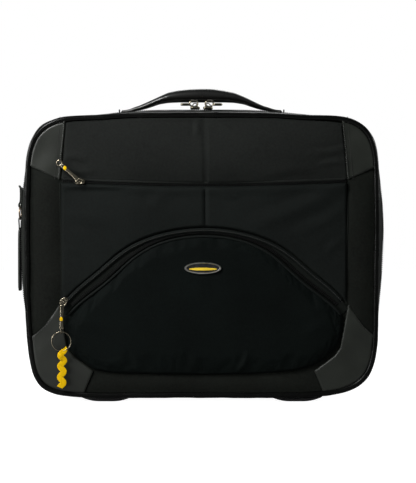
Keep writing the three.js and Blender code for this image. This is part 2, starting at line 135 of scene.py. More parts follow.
def shoulder_drop(x, z):
    """The top edge sinks by up to 2.4 mm beside the handle, 130 mm from the middle."""
    return 2.4 * np.exp(-(((np.abs(x) - 130) / 36) ** 2)) * np.clip((z - 290) / 50, 0, 1)


def outline(theta, grow=0.0):
    """(x, z) of the case's front outline, grown outwards by `grow`: a
    superellipse 430 by 347 mm, squarest at its lower left corner, that
    leans in by 6 mm at its lower left and out by 1.5 mm at its upper right."""
    c, s = np.cos(theta), np.sin(theta)
    power = (
        SQUARENESS + 1.2 * np.clip(c, 0, 1) * np.clip(s, 0, 1) + 5.0 * np.clip(-c, 0, 1) * np.clip(-s, 0, 1)
    )
    r = (np.abs(c) ** power + np.abs(s) ** power) ** (-1 / power)
    x, z = (HALF_WIDE + grow) * r * c, MIDDLE + (HALF_HIGH + grow) * r * s
    lean = 6.5 * np.clip(-x / HALF_WIDE, 0, 1) ** 2 * np.clip((130 - z) / 100, 0, 1)
    return (
        x + lean + 1.5 * np.clip(x / HALF_WIDE, 0, 1) ** 2 * np.clip((z - 90) / 120, 0, 1),
        z - shoulder_drop(x, z),
    )


def stations(start, end, count):
    """Angles from start to end, closer together at the four corners, where sin 4t turns fastest."""
    even = np.linspace(start, end, count)
    return even + 0.13 * np.sin(4 * even)


def crown(theta, y):
    """How far the band bulges: most at the middle of its
    depth and of each side, nothing at corners and base."""
    sine = np.sin(theta)
    rise = CROWN_SIDE * (1 + 0.7 * sine) * np.cos(theta) ** 2 + np.where(sine > 0, CROWN_TOP * sine**2, 0)
    return rise * (1 - np.abs(np.sin(2 * theta)) ** 3) * np.clip(1 - (y / HALF_DEPTH) ** 2, 0, None)


def slack_cloth(theta, y):
    """Soft waves of the band, under a millimetre: three slow sines crossing at a slant."""
    waves = 0.35 * np.sin(11 * theta + y / 17) + 0.25 * np.sin(23 * theta - y / 9 + 1.3)
    return waves + 0.2 * np.sin(41 * theta + y / 6 + 0.4)


def finish_mesh(obj, closed, sharp_degrees):
    """Merges doubled points, turns a closed shell's faces
    outwards, and shades it smooth but for sharp edges."""
    shell = bmesh.new()
    shell.from_mesh(obj.data)
    bmesh.ops.remove_doubles(shell, verts=shell.verts, dist=0.01 * MM)
    bmesh.ops.dissolve_degenerate(shell, edges=shell.edges, dist=0.004 * MM)
    if closed:
        bmesh.ops.recalc_face_normals(shell, faces=shell.faces)
    shell.to_mesh(obj.data)
    shell.free()
    obj.data.shade_smooth()
    obj.data.set_sharp_from_angle(angle=math.radians(sharp_degrees))


def surface(name, points, around=False, along=False, caps=False, closed=True, sharp_degrees=40):
    """A mesh of quads on the grid points[i, j] (millimetres): `around` joins the last column to the first,
    `along` joins the last row to the first, and `caps` closes the first and last rows with one face each."""
    rows, columns = points.shape[:2]
    index = np.arange(rows * columns).reshape(rows, columns)
    ends = [index[0][::-1].tolist(), index[-1].tolist()] if caps else []
    if around:
        index = np.hstack([index, index[:, :1]])
    if along:
        index = np.vstack([index, index[:1]])
    quads = joined(index[:-1, :-1], index[:-1, 1:], index[1:, 1:], index[1:, :-1])
    mesh = bpy.data.meshes.new(name)
    mesh.from_pydata(points.reshape(-1, 3) * MM, [], quads.reshape(-1, 4).tolist() + ends)
    obj = bpy.data.objects.new(name, mesh)
    bpy.context.collection.objects.link(obj)
    finish_mesh(obj, closed, sharp_degrees)
    return obj


def joined(*parts):
    """Points from their coordinates, each an array or a number."""
    return np.stack(np.broadcast_arrays(*parts), -1)


def band(name, y0, y1, theta, thick, ring, lip=0.0, rows=22):
    """A length of the band between depths y0 and y1: an outer skin that
    bulges, tucks in by `lip` at both sides, and an inner skin `thick`
    below it. A ring is closed on itself; a part of one gets end caps."""
    y = np.linspace(y0, y1, rows)
    edge = np.exp(-((np.minimum(y - y0, y1 - y) / 3.0) ** 2))
    outer = crown(theta[:, None], y[None]) + slack_cloth(theta[:, None], y[None]) * (1 - edge) - lip * edge
    inner = crown(theta[:, None], y[None]) - thick
    grow = np.hstack([outer, inner[:, ::-1]])
    depth = np.broadcast_to(np.hstack([y, y[::-1]]), grow.shape)
    x, z = outline(theta[:, None], grow)
    points = joined(x, depth, z)
    return surface(name, points, around=True, along=ring, caps=not ring, sharp_degrees=50)


def cut_box(obj, low, high):
    """Takes a rectangular hole, given by two corners in millimetres, out of a closed piece."""
    low, high = np.array(low, float), np.array(high, float)
    corners = np.array([[x, y, z] for x in (0, 1) for y in (0, 1) for z in (0, 1)])
    faces = [(0, 1, 3, 2), (4, 6, 7, 5), (0, 4, 5, 1), (2, 3, 7, 6), (0, 2, 6, 4), (1, 5, 7, 3)]
    mesh = bpy.data.meshes.new("cutter")
    mesh.from_pydata((low + corners * (high - low)) * MM, [], faces)
    cutter = bpy.data.objects.new("cutter", mesh)
    bpy.context.collection.objects.link(cutter)
    hole = obj.modifiers.new("hole", "BOOLEAN")
    hole.operation, hole.solver, hole.object = "DIFFERENCE", "EXACT", cutter
    bpy.context.view_layer.update()
    made = bpy.data.meshes.new_from_object(obj.evaluated_get(bpy.context.evaluated_depsgraph_get()))
    obj.modifiers.clear()
    obj.data = made
    bpy.data.objects.remove(cutter)


def corners_of(node):
    """The low and the high corner of a CAD node's box, in millimetres."""
    low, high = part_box(node)
    return np.array(low) / MM, np.array(high) / MM


def new_group(name, inputs, outputs):
    """An empty node group with its sockets, and its input and output nodes."""
    group = bpy.data.node_groups.new(name, "ShaderNodeTree")
    for label, kind, value in inputs:
        socket = group.interface.new_socket(label, in_out="INPUT", socket_type=kind)
        if value is not None:
            socket.default_value = value
    for label, kind in outputs:
        group.interface.new_socket(label, in_out="OUTPUT", socket_type=kind)
    return group, group.nodes.new("NodeGroupInput"), group.nodes.new("NodeGroupOutput")


def math_node(tree, operation, first, second=None):
    """One Math node; each argument is a socket or a number."""
    node = tree.nodes.new("ShaderNodeMath")
    node.operation = operation
    for socket, value in zip(node.inputs, (first, second)):
        if value is None:
            continue
        if isinstance(value, (int, float)):
            socket.default_value = value
        else:
            tree.links.new(value, socket)
    return node.outputs[0]


def weave_group():
    """Height = sin(a) sin(b) with a = (x + y) and b = (z + y) over the thread pitch,
    so every face shows a weave; Mask is a slow cloudy noise for worn and dusty places."""
    group, given, out = new_group(
        "woven_threads",
        [("Vector", "NodeSocketVector", None), ("Pitch", "NodeSocketFloat", 0.0011)],
        [("Height", "NodeSocketFloat"), ("Mask", "NodeSocketFloat")],
    )
    split = group.nodes.new("ShaderNodeSeparateXYZ")
    group.links.new(given.outputs["Vector"], split.inputs[0])
    x, y, z = split.outputs
    turns = math_node(group, "DIVIDE", 6.28318, given.outputs["Pitch"])
    first = math_node(group, "SINE", math_node(group, "MULTIPLY", math_node(group, "ADD", x, y), turns))
    second = math_node(group, "SINE", math_node(group, "MULTIPLY", math_node(group, "ADD", z, y), turns))
    group.links.new(math_node(group, "MULTIPLY", first, second), out.inputs["Height"])
    cloud, speckle = group.nodes.new("ShaderNodeTexNoise"), group.nodes.new("ShaderNodeTexNoise")
    for noise, scale, detail in ((cloud, 14, 5), (speckle, 420, 2)):
        noise.inputs["Scale"].default_value = scale
        noise.inputs["Detail"].default_value = detail
        group.links.new(given.outputs["Vector"], noise.inputs["Vector"])
    both_scales = math_node(group, "ADD", math_node(group, "MULTIPLY", cloud.outputs["Fac"], 0.45),
                            math_node(group, "MULTIPLY", speckle.outputs["Fac"], 0.55))
    group.links.new(both_scales, out.inputs["Mask"])
    return group


MASK_RANGE = (0.3, 0.7)


def finish(name, colour, rough, group, value, depth, spread=(0.8, 1.25), rough_spread=0.06, **extra):
    """A Principled material over one group: Mask varies the colour between `spread` times `colour` and the
    roughness by `rough_spread`, and Height drives a bump `depth` metres deep. `extra` sets plain sockets."""
    material = bpy.data.materials.new(name)
    material.use_nodes = True
    tree = material.node_tree
    shader = tree.nodes["Principled BSDF"]
    place = tree.nodes.new("ShaderNodeTexCoord")
    pattern = tree.nodes.new("ShaderNodeGroup")
    pattern.node_tree = group
    pattern.inputs[1].default_value = value
    tree.links.new(place.outputs["Object"], pattern.inputs["Vector"])
    ramp = tree.nodes.new("ShaderNodeMapRange")
    ramp.inputs["From Min"].default_value, ramp.inputs["From Max"].default_value = MASK_RANGE
    ramp.inputs["To Min"].default_value, ramp.inputs["To Max"].default_value = 0, 1
    tree.links.new(pattern.outputs["Mask"], ramp.inputs["Value"])
    tint = tree.nodes.new("ShaderNodeMix")
    tint.data_type = "RGBA"
    for socket, share in zip((tint.inputs[6], tint.inputs[7]), spread):
        socket.default_value = (*[min(1, c * share) for c in colour], 1)
    tree.links.new(ramp.outputs["Result"], tint.inputs[0])
    tree.links.new(tint.outputs[2], shader.inputs["Base Color"])
    worn = tree.nodes.new("ShaderNodeMapRange")
    worn.inputs["From Min"].default_value, worn.inputs["From Max"].default_value = MASK_RANGE
    worn.inputs["To Min"].default_value = rough - rough_spread
    worn.inputs["To Max"].default_value = rough + rough_spread
    tree.links.new(pattern.outputs["Mask"], worn.inputs["Value"])
    tree.links.new(worn.outputs["Result"], shader.inputs["Roughness"])
    bump = tree.nodes.new("ShaderNodeBump")
    bump.inputs["Strength"].default_value = 1
    bump.inputs["Distance"].default_value = depth
    tree.links.new(pattern.outputs["Height"], bump.inputs["Height"])
    tree.links.new(bump.outputs["Normal"], shader.inputs["Normal"])
    for label, plain in extra.items():
        shader.inputs[label.replace("_", " ")].default_value = plain
    return material


def put(obj, body, slot, material, *nodes):
    """Rides the piece on its body, gives it its material, and hides the CAD nodes that it stands for; `slot`
    is not used.
    """
    obj.data.materials.clear()
    obj.data.materials.append(material)
    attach(obj, body)
    if nodes:
        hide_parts(*nodes)
    return obj


ZIP_FRONT, ZIP_BACK, HINGE_HEIGHT = -49.6, -44.4, 48
SKIN = 2.7
around_case = stations(0, 2 * np.pi, 241)[:-1]
dense = np.linspace(-np.pi / 2, 0, 4001)
hinge_angle = dense[np.argmin(np.abs(outline(dense)[1] - HINGE_HEIGHT))]
over_top = stations(0, np.pi, 161)
over_top = np.concatenate(
    [np.linspace(hinge_angle, 0, 30)[:-1], over_top, np.linspace(np.pi, np.pi - hinge_angle, 30)[1:]]
)
below = stations(np.pi, 2 * np.pi, 161)
below = below[(below > np.pi - hinge_angle) & (below < 2 * np.pi + hinge_angle)]
below = np.concatenate([[np.pi - hinge_angle], below, [2 * np.pi + hinge_angle]])

WEAVE = weave_group()
nylon = finish("ballistic_nylon", (0.0070, 0.0080, 0.0066), 0.7, WEAVE, 0.0013, 0.00006, spread=(0.5, 1.6),
               Specular_IOR_Level=0.06)
rear_shell = band("rear_shell_band", ZIP_BACK, 87.9, around_case, SKIN, ring=True, lip=0.6)
for side in ("left", "right"):
    low, high = corners_of(f"wheel_housing_{side}")
    cut_box(rear_shell, low + [0.4, 0.4, -20], high + [-0.4, 20, -0.4])
bezel_low, bezel_high = corners_of("trolley_bezel")
cut_box(rear_shell, bezel_low + [0.3, 0.3, -5], bezel_high + [-0.3, -0.3, 15])
put(rear_shell, "case", "fabric", nylon, "rear_gusset")
door_band = band("door_band", -88, ZIP_FRONT, over_top, SKIN, ring=False, lip=0.5)
put(door_band, "door", "fabric", nylon, "front_gusset")
put(band("hinge_band", -85, ZIP_BACK - 0.2, below, SKIN, ring=False), "case", "fabric", nylon, "base_panel")


# The main zip: a black tape in the gap between case and door
# with a coil of small interlocked teeth on it.
tape = band("main_zip_tape", ZIP_FRONT + 0.2, ZIP_BACK - 0.2, over_top, 1.4, ring=False, lip=0.5, rows=9)
tape_cloth = finish(
    "zip_tape", (0.006, 0.0074, 0.0062), 0.75, WEAVE, 0.0008, 0.00004, Specular_IOR_Level=0.08,
)
put(tape, "case", "zip_tape", tape_cloth, "main_zip")


def teeth(name, centres, across, ahead, out, length, width, height):
    """Many small six-sided teeth as one mesh: at each centre a block with
    its corners at plus and minus half of `length` along `across`, `width`
    along `ahead` and `height` along `out`, the outer face a little narrower."""
    corner = np.array([[x, y, z] for z in (-1, 1) for y in (-1, 1) for x in (-1, 1)], float)
    shrink = np.where(corner[:, 2] > 0, 0.72, 1.0)
    size = np.array([length, width, height]) / 2
    local = corner * size * joined(shrink, shrink, np.ones(8))
    axes = np.stack(np.broadcast_arrays(np.atleast_2d(across), ahead, np.atleast_2d(out)), 1)
    points = centres[:, None] + np.einsum("kc,nca->nka", local, axes)
    block = np.array([[0, 1, 3, 2], [4, 6, 7, 5], [0, 4, 5, 1], [2, 3, 7, 6], [0, 2, 6, 4], [1, 5, 7, 3]])
    faces = (block[None] + 8 * np.arange(len(centres))[:, None, None]).reshape(-1, 4)
    mesh = bpy.data.meshes.new(name)
    mesh.from_pydata(points.reshape(-1, 3) * MM, [], faces.tolist())
    obj = bpy.data.objects.new(name, mesh)
    bpy.context.collection.objects.link(obj)
    shell = bmesh.new()
    shell.from_mesh(mesh)
    bmesh.ops.recalc_face_normals(shell, faces=shell.faces)
    shell.to_mesh(mesh)
    shell.free()
    return obj


def spaced(path, pitch, shift=0.0):
    """Points at even distances along a polyline, with the unit direction at each."""
    run = np.concatenate([[0], np.cumsum(np.linalg.norm(np.diff(path, axis=0), axis=1))])
    at = np.arange(pitch * (0.5 + shift), run[-1] - 0.3, pitch)
    points = np.stack([np.interp(at, run, path[:, k]) for k in range(3)], -1)
    ahead = np.stack([np.interp(at + 0.3, run, path[:, k]) for k in range(3)], -1) - points
    return points, ahead / np.linalg.norm(ahead, axis=1, keepdims=True)


zip_middle = (ZIP_FRONT + ZIP_BACK) / 2
x, z = outline(over_top, crown(over_top, zip_middle) + 0.2)
points, ahead = spaced(joined(x, zip_middle, z), 2.4)
across = np.array([0.0, 1.0, 0.0])
zip_teeth = teeth("main_zip_teeth", points, across, ahead, np.cross(ahead, across), 3.4, 1.5, 1.3)


def grain_group():
    """Height is a small cellular pebble with fine noise over it; Mask is a slow noise for scuffs."""
    group, given, out = new_group(
        "pebbled_grain",
        [("Vector", "NodeSocketVector", None), ("Scale", "NodeSocketFloat", 900.0)],
        [("Height", "NodeSocketFloat"), ("Mask", "NodeSocketFloat")],
    )
    cells, cloud = group.nodes.new("ShaderNodeTexVoronoi"), group.nodes.new("ShaderNodeTexNoise")
    cells.feature = "SMOOTH_F1"
    for node in (cells, cloud):
        group.links.new(given.outputs["Vector"], node.inputs["Vector"])
    group.links.new(given.outputs["Scale"], cells.inputs["Scale"])
    cloud.inputs["Scale"].default_value = 30
    cloud.inputs["Detail"].default_value = 6
    group.links.new(cells.outputs["Distance"], out.inputs["Height"])
    group.links.new(cloud.outputs["Fac"], out.inputs["Mask"])
    return group


GRAIN = grain_group()
coil_plastic = finish("zip_coil", (0.005, 0.005, 0.005), 0.4, GRAIN, 1500.0, 0.00001, Specular_IOR_Level=0.2)
put(zip_teeth, "case", "zip_tape", coil_plastic)


# The piping: a glossy vinyl tube sewn round the front and the back edge, with a small joint at the top.
def full_turn(count):
    """Evenly spaced angles once round a circle."""
    return np.linspace(0, 2 * np.pi, count, endpoint=False)


def tube_along(path, across, up, loop=False):
    """Points of a tube whose path lies in an XZ plane: path[i] + across[i, j] times the tangent turned
    by a quarter in that plane + up[i, j] times -Y. Offsets with one axis are the same all along."""
    ahead = np.roll(path, -1, 0) - np.roll(path, 1, 0) if loop else np.gradient(path, axis=0)
    ahead = ahead / np.linalg.norm(ahead, axis=1, keepdims=True)
    side = joined(ahead[:, 2], np.zeros(len(path)), -ahead[:, 0])
    front = np.broadcast_to([0.0, -1.0, 0.0], side.shape)
    across, up = (np.broadcast_to(np.atleast_2d(k), (len(path), k.shape[-1])) for k in (across, up))
    return path[:, None] + across[..., None] * side[:, None] + up[..., None] * front[:, None]


def piping(name, y, radius, theta, ring):
    """A tube along the outline, set in by its own radius,
    that swells and wanders by a fraction of a millimetre."""
    wander = 0.35 * np.sin(9 * theta + 0.6) + 0.2 * np.sin(23 * theta)
    x, z = outline(theta, wander * 0.5 - radius)
    path = joined(x, y + 0.3 * np.sin(13 * theta), z)
    turn = full_turn(16)
    swell = 1 + 0.03 * np.sin(31 * theta) + 0.02 * np.sin(67 * theta + 1)
    joint = 1 + 0.1 * np.exp(-(((x - 18) / 5) ** 2)) * (z > 300)
    size = (radius * swell * joint)[:, None]
    points = tube_along(path, size * np.cos(turn), size * np.sin(turn), loop=ring)
    return surface(name, points, around=True, along=ring, caps=not ring)


vinyl = finish(
    "piping_vinyl", (0.0024, 0.0026, 0.0023), 0.26, GRAIN, 1200.0, 0.00002, Specular_IOR_Level=0.14,
)
fine_ring = stations(0, 2 * np.pi, 361)[:-1]
put(piping("front_piping_tube", -92, 3.5, fine_ring, True), "door", "piping", vinyl, "front_piping")
rear_low = corners_of("rear_piping")[0][2] + 3
rear_arc = stations(-np.pi / 2, 1.5 * np.pi, 361)
rear_arc = rear_arc[outline(rear_arc)[1] > rear_low]
put(piping("rear_piping_tube", 91.2, 3.2, rear_arc, False), "case", "piping", vinyl, "rear_piping")


# The door's face: nylon over a foam board. It shows as a
# padded strip down each side and a flat strip at the bottom.
def face_y(x, z):
    """The face's depth: flat, but 2.6 mm fuller in the
    middle of each side strip, easing off to the piping."""
    strip = np.clip((np.abs(x - 3) - 174) / 32, 0, 1)
    full = 2.4 * np.sin(np.pi * strip) ** 0.8 * np.clip((z - 60) / 60, 0, 1) * np.clip((292 - z) / 30, 0, 1)
    low_strip = np.exp(-(((z - 21) / 8) ** 2)) * np.clip((140 - np.abs(x)) / 20, 0, 1)
    wave = (
        0.35 * np.sin(z / 11 + x / 40) * np.sin(np.pi * strip)
        + 0.25 * low_strip * np.sin(x / 13 + 0.5 * np.sin(x / 31))
    )
    return -91.6 - full - 1.2 * low_strip - wave


def rings_inside(inset, share):
    """(x, z) of rings like the outline moved in by `inset`, at each share of the way out."""
    x, z = outline(fine_ring, -inset)
    return x[None] * share[:, None], MIDDLE + (z[None] - MIDDLE) * share[:, None]


def plate(name, front, rear_y):
    """A closed plate from the rings of its front face and a plainer flat rear face."""
    rear = front[::-3].copy()
    rear[..., 1] = rear_y
    return surface(name, np.vstack([front, rear]), around=True, sharp_degrees=60)


share = np.concatenate([np.linspace(0, 0.7, 8), np.linspace(0.72, 1, 34)])
front_x, front_z = rings_inside(5.5, share)
front = joined(front_x, face_y(front_x, front_z), front_z)
face = plate("door_face", front, -88.4)
put(face, "door", "fabric", nylon, "front_panel")


def ruled(first, second, rows):
    """A grid between two boundary lines with equally many points: row i lies i /
    rows of the way from one to the other, with rows closer together at both lines."""
    t = (1 - np.cos(np.linspace(0, np.pi, rows))) / 2
    return first[None] * (1 - t)[:, None, None] + second[None] * t[:, None, None]


def along_line(corners, count, close=0.0):
    """Points evenly along a line through corners, a (x, z)
    list; `close` above 0 crowds them towards both ends."""
    corners = np.array(corners, float)
    run = np.concatenate([[0], np.cumsum(np.linalg.norm(np.diff(corners, axis=0), axis=1))])
    t = np.linspace(0, 1, count)
    t = t * (1 - close) + close * (1 - np.cos(np.pi * t)) / 2
    return np.stack([np.interp(t * run[-1], run, corners[:, k]) for k in range(2)], -1)


def from_edge(grid):
    """Distance of each grid point from the grid's own boundary, measured to the nearest boundary point."""
    rim = np.concatenate([grid[0], grid[-1], grid[:, 0], grid[:, -1]])
    return np.linalg.norm(grid[:, :, None] - rim[None, None], axis=-1).min(-1)


def fold(grid, start, end, height, width, bow=0.0):
    """A soft fold from start to end: a ridge with a shallower valley on its lower side, both Gaussian across,
    fading as a sine along, and bowed sideways by `bow` at its middle."""
    start, end = np.array(start, float), np.array(end, float)
    length = np.linalg.norm(end - start)
    ahead = (end - start) / length
    offset = grid - start
    t = offset @ ahead / length
    away = offset @ np.array([-ahead[1], ahead[0]]) - bow * np.sin(np.pi * np.clip(t, 0, 1))
    fade = np.sin(np.pi * np.clip(t, 0, 1)) ** 0.7
    return (
        fade * height
        * (np.exp(-((away / width) ** 2)) - 0.6 * np.exp(-(((away + 1.7 * width) / width) ** 2)))
    )


def padding(name, grid, base_y, thick, roll, relief=0.0, seams=(), back=None):
    """A pad on the grid of (x, z) points. It rises from nothing at the rim
    as a quarter round of size `roll` to `thick`, plus `relief`, less a
    groove along each seam line, and it is closed by a flat back at `base_y`."""
    near = np.clip(from_edge(grid) / roll, 0, 1)
    round_over = np.sqrt(np.clip(1 - (1 - near) ** 2, 0, 1))
    height = (thick + relief) * round_over
    for line, deep, wide in seams:
        line = along_line(line, 200)
        gap = np.linalg.norm(grid[:, :, None] - line[None, None], axis=-1).min(-1)
        height = height - deep * round_over * np.exp(-((gap / wide) ** 2))
    y = base_y - np.maximum(height, 0)
    top = joined(grid[..., 0], y, grid[..., 1])
    under = joined(grid[..., 0], base_y if back is None else back, grid[..., 1])
    points = np.concatenate([top, under[:, ::-1]], 1)
    return surface(name, points, around=True, sharp_degrees=70)


# Two cloth panels, above and below the straight pocket zip. Both are nylon over thin foam,
# stitched at the rim and down the middle, and the slack cloth puckers beside the seams.
SEAM_LEFT, SEAM_RIGHT, FACE_Y = -171, 178, -92.0
TOP_LEFT, TOP_RIGHT, PANEL_ROLL = -164.6, 171.5, 3.2


def pocket_line(x):
    """Height of the straight zip: 268.8 mm at both ends, sagging to 264 in the middle."""
    return 268.8 - 4.8 * np.clip(1 - ((x - 5) / 175) ** 2, 0, 1)


def top_line(x, inset):
    """Height of the outline's top edge, moved in by `inset`, above each x."""
    z = (
        MIDDLE
        + (HALF_HIGH - inset) * (1 - (np.abs(x) / (HALF_WIDE - inset)) ** SQUARENESS) ** (1 / SQUARENESS)
    )
    return z - shoulder_drop(x, z)


across_panel = along_line([(0, 0), (1, 0)], 170, close=0.75)[:, 0]
low_x = SEAM_LEFT + 0.7 + (SEAM_RIGHT - SEAM_LEFT - 0.5) * across_panel
high_x = TOP_LEFT + (TOP_RIGHT - TOP_LEFT) * across_panel
upper_grid = ruled(
    joined(low_x, pocket_line(low_x) + 1.6), joined(high_x, top_line(high_x, 6.6)), 44
)
puckers = [
    ((177, 309), (132, 304), 1.0, 3.2, 2), ((177, 291), (138, 287), 0.9, 3.0, -2),
    ((-7, 343), (-6, 322), 0.9, 2.8, 1), ((-166, 299), (-136, 293), 0.8, 4.6, 2),
    ((-168, 284), (-128, 280), 0.5, 3.6, -2), ((10, 341), (34, 332), 0.4, 4.0, 2),
    ((70, 274), (140, 284), 0.5, 5.5, 3),
]
relief = 1.7 * sum(fold(upper_grid, *one) for one in puckers)
relief = relief + 0.9 * np.sin(upper_grid[..., 0] / 37 + 1) * np.sin(upper_grid[..., 1] / 19)
above_zip = upper_grid[..., 1] - pocket_line(upper_grid[..., 0])
relief = relief + 1.3 * (1 - np.exp(-((above_zip / 11) ** 2))) - 0.5
belly = np.sin(np.pi * np.clip(above_zip / 76, 0, 1)) * (1 - (upper_grid[..., 0] / 185) ** 2)
relief = relief + 7.0 * belly
centre_top = [(5.0, 264), (4.2, 300), (3.4, 350)]
upper = padding("upper_panel_cloth", upper_grid, FACE_Y, 2.6, PANEL_ROLL, relief, [(centre_top, 2.6, 1.3)])
# The upper panel and the zip flap wear a lighter copy of the same nylon: painted light, brightest where the
# lamp above falls on the top of the door.
upper_nylon_painted_light = finish("upper_nylon_painted_light", (0.0118, 0.0131, 0.012), 0.68, WEAVE, 0.0011, 0.00005, spread=(0.7, 1.35),
                     Specular_IOR_Level=0.06)
put(upper, "door", "panel_fabric", upper_nylon_painted_light, "upper_panel")

ARCH_X, ARCH_Z = 4, 3


def arch_outer(angle):
    """Radius of the arch's outer seam: 209 mm, 5.5 less at the shoulders, 40 degrees from the top."""
    lean = np.abs(np.degrees(angle) - 90)
    return 209 - 5.5 * np.exp(-(((lean - 40) / 11) ** 2))


def arch_inner(angle):
    """Radius of the padded pocket's top edge: 201 mm, 13 less at the shoulders."""
    lean = np.abs(np.degrees(angle) - 90)
    return 201 - 13 * np.exp(-(((lean - 40) / 16) ** 2))


def arch_point(angle, radius):
    """(x, z) at an angle and a distance from the arch's centre."""
    return joined(ARCH_X + radius * np.cos(angle), ARCH_Z + radius * np.sin(angle))


arch_angles = np.radians(np.linspace(146, 34.5, 400))
rise = arch_point(arch_angles, arch_outer(arch_angles) + 0.6)
mid_x = rise[0, 0] + 0.4 + (rise[-1, 0] - rise[0, 0] - 0.8) * across_panel
order = np.argsort(rise[:, 0])
low_edge = joined(mid_x, np.interp(mid_x, rise[order, 0], rise[order, 1]))
left_end, right_end = SEAM_LEFT + 0.5, 176.6
wide_x = left_end + (right_end - left_end) * across_panel
middle_grid = ruled(low_edge, joined(wide_x, pocket_line(wide_x) - 1.8), 60)
folds = [
    ((176, 264), (52, 212), 1.2, 9.0, 4), ((176, 236), (110, 204), 0.8, 7.0, 3),
    ((18, 262), (46, 248), 0.9, 4.2, -4), ((-166, 263), (-90, 262), 1.3, 3.4, 0),
    ((-168, 228), (-110, 216), 0.5, 7.0, 3), ((-168, 186), (-146, 178), 0.5, 5.0, 2),
    ((172, 196), (150, 180), 0.6, 5.0, -2), ((-30, 258), (-66, 230), 0.4, 7.0, -4),
]
relief = 1.5 * sum(fold(middle_grid, *one) for one in folds)
relief = relief + np.sin(middle_grid[..., 0] / 33 + 2) * np.sin(middle_grid[..., 1] / 21 + 1)
below_zip = pocket_line(middle_grid[..., 0]) - middle_grid[..., 1]
relief = relief + 1.9 * np.exp(-(((below_zip - 6) / 6) ** 2))
belly = np.sin(np.pi * np.clip(below_zip / 90, 0, 1) ** 0.7) * (1 - (middle_grid[..., 0] / 185) ** 2)
relief = relief + 4.0 * belly
centre_low = [(4.6, 212), (4.8, 240), (5.0, 264)]
middle = padding("middle_panel_cloth", middle_grid, FACE_Y, 2.4, PANEL_ROLL, relief, [(centre_low, 2.4, 1.3)])
# The middle panel and the arch welts wear a copy of the same nylon, darker than the upper panel's: painted
# shade of the light falling off below the pocket zip.
middle_nylon_painted_shade = finish(
    "middle_nylon_painted_shade", (0.0074, 0.009, 0.0083), 0.68, WEAVE, 0.0011, 0.00005, spread=(0.7, 1.35),
    Specular_IOR_Level=0.06,
)
put(middle, "door", "panel_fabric", middle_nylon_painted_shade, "middle_panel")


# The arch pocket: the fullest pad of the case, nylon over
# soft foam, held by the arch zip above and sewn in below.
def points_of(mesh):
    """The points of a mesh in metres, one row each."""
    co = np.empty(len(mesh.vertices) * 3)
    mesh.vertices.foreach_get("co", co)
    return co.reshape(-1, 3)


def settle(obj, hold_y, pressure, slack, cap):
    """Lets the cloth swell and pucker. Points behind `hold_y` are held, the cloth is `slack` larger than its
    frame, and no point moves further than `cap` mm. One subdivision follows."""
    rest = points_of(obj.data)
    held = obj.vertex_groups.new(name="held")
    held.add(np.flatnonzero(rest[:, 1] > hold_y * MM).tolist(), 1.0, "REPLACE")
    cloth = obj.modifiers.new("cloth", "CLOTH")
    settings = cloth.settings
    settings.vertex_group_mass = "held"
    settings.quality = 4
    settings.mass = 0.2
    settings.tension_stiffness = settings.compression_stiffness = 20
    settings.bending_stiffness = 0.4
    settings.use_pressure = True
    settings.uniform_pressure_force = pressure
    settings.effector_weights.gravity = 0
    settings.shrink_min = -slack
    scene = bpy.context.scene
    for number in range(1, 21):
        scene.frame_set(number)
    after = points_of(obj.evaluated_get(bpy.context.evaluated_depsgraph_get()).data)
    obj.modifiers.clear()
    obj.vertex_groups.clear()
    scene.frame_set(1)
    move = after - rest
    far = np.linalg.norm(move, axis=1, keepdims=True)
    move = move * np.minimum(1, cap * MM / np.maximum(far, 1e-9))
    obj.data.vertices.foreach_set("co", (rest + move).ravel())
    obj.data.update()
    smooth = obj.modifiers.new("smooth", "SUBSURF")
    smooth.levels = smooth.render_levels = 1
    return obj


foot_of_pocket = [
    (-169, 104), (-167, 92), (-161, 66), (-154, 57), (-144, 50), (-130, 39.5), (-115, 36.5), (-98, 35),
    (-50, 34), (0, 33.5), (60, 34.5), (112, 38), (135, 44), (152, 54), (165, 69), (171, 86), (174, 104),
]
inner_angles = np.radians(np.linspace(149.2, 31.0, 400))
top_rim = arch_point(inner_angles, arch_inner(inner_angles) - 1.0)
POCKET_LEFT, POCKET_RIGHT = -167.6, 171.6
pocket_x = POCKET_LEFT + (POCKET_RIGHT - POCKET_LEFT) * across_panel
order = np.argsort(top_rim[:, 0])
foot = np.array(foot_of_pocket, float)
high_edge = joined(pocket_x, np.interp(pocket_x, top_rim[order, 0], top_rim[order, 1]))
foot_edge = joined(pocket_x, np.interp(pocket_x, foot[:, 0], foot[:, 1]))
pocket_grid = ruled(foot_edge, high_edge, 62)
creases = [
    ((56, 62), (44, 36), 1.5, 3.4, 2), ((-152, 98), (-112, 84), 0.6, 7.0, 4),
    ((160, 94), (120, 78), 0.7, 7.0, -4), ((-118, 43), (-86, 50), 0.6, 4.0, 2),
]
relief = sum(fold(pocket_grid, *one) for one in creases)
belly = (
    np.sin(np.pi * np.clip((pocket_grid[..., 0] + 169) / 343, 0, 1))
    * np.clip((pocket_grid[..., 1] - 34) / 60, 0, 1)
)
relief = relief + 0.5 * np.sin(pocket_grid[..., 0] / 41) * np.sin(pocket_grid[..., 1] / 29) + 1.2 * belly
pocket = padding("arch_pocket_pad", pocket_grid, FACE_Y, 6.1, 11.0, relief)
settle(pocket, hold_y=FACE_Y - 4.0, pressure=2.0, slack=0.007, cap=1.3)
# The pocket wears the darkest copy of the same nylon: painted shade where the light falls off towards the
# foot of the door.
pocket_nylon_painted_shade = finish(
    "pocket_nylon_painted_shade", (0.0026, 0.004, 0.0036), 0.68, WEAVE, 0.0011, 0.00005, spread=(0.5, 1.6),
    Specular_IOR_Level=0.05,
)
put(pocket, "door", "panel_fabric", pocket_nylon_painted_shade, "arch_pocket_panel")


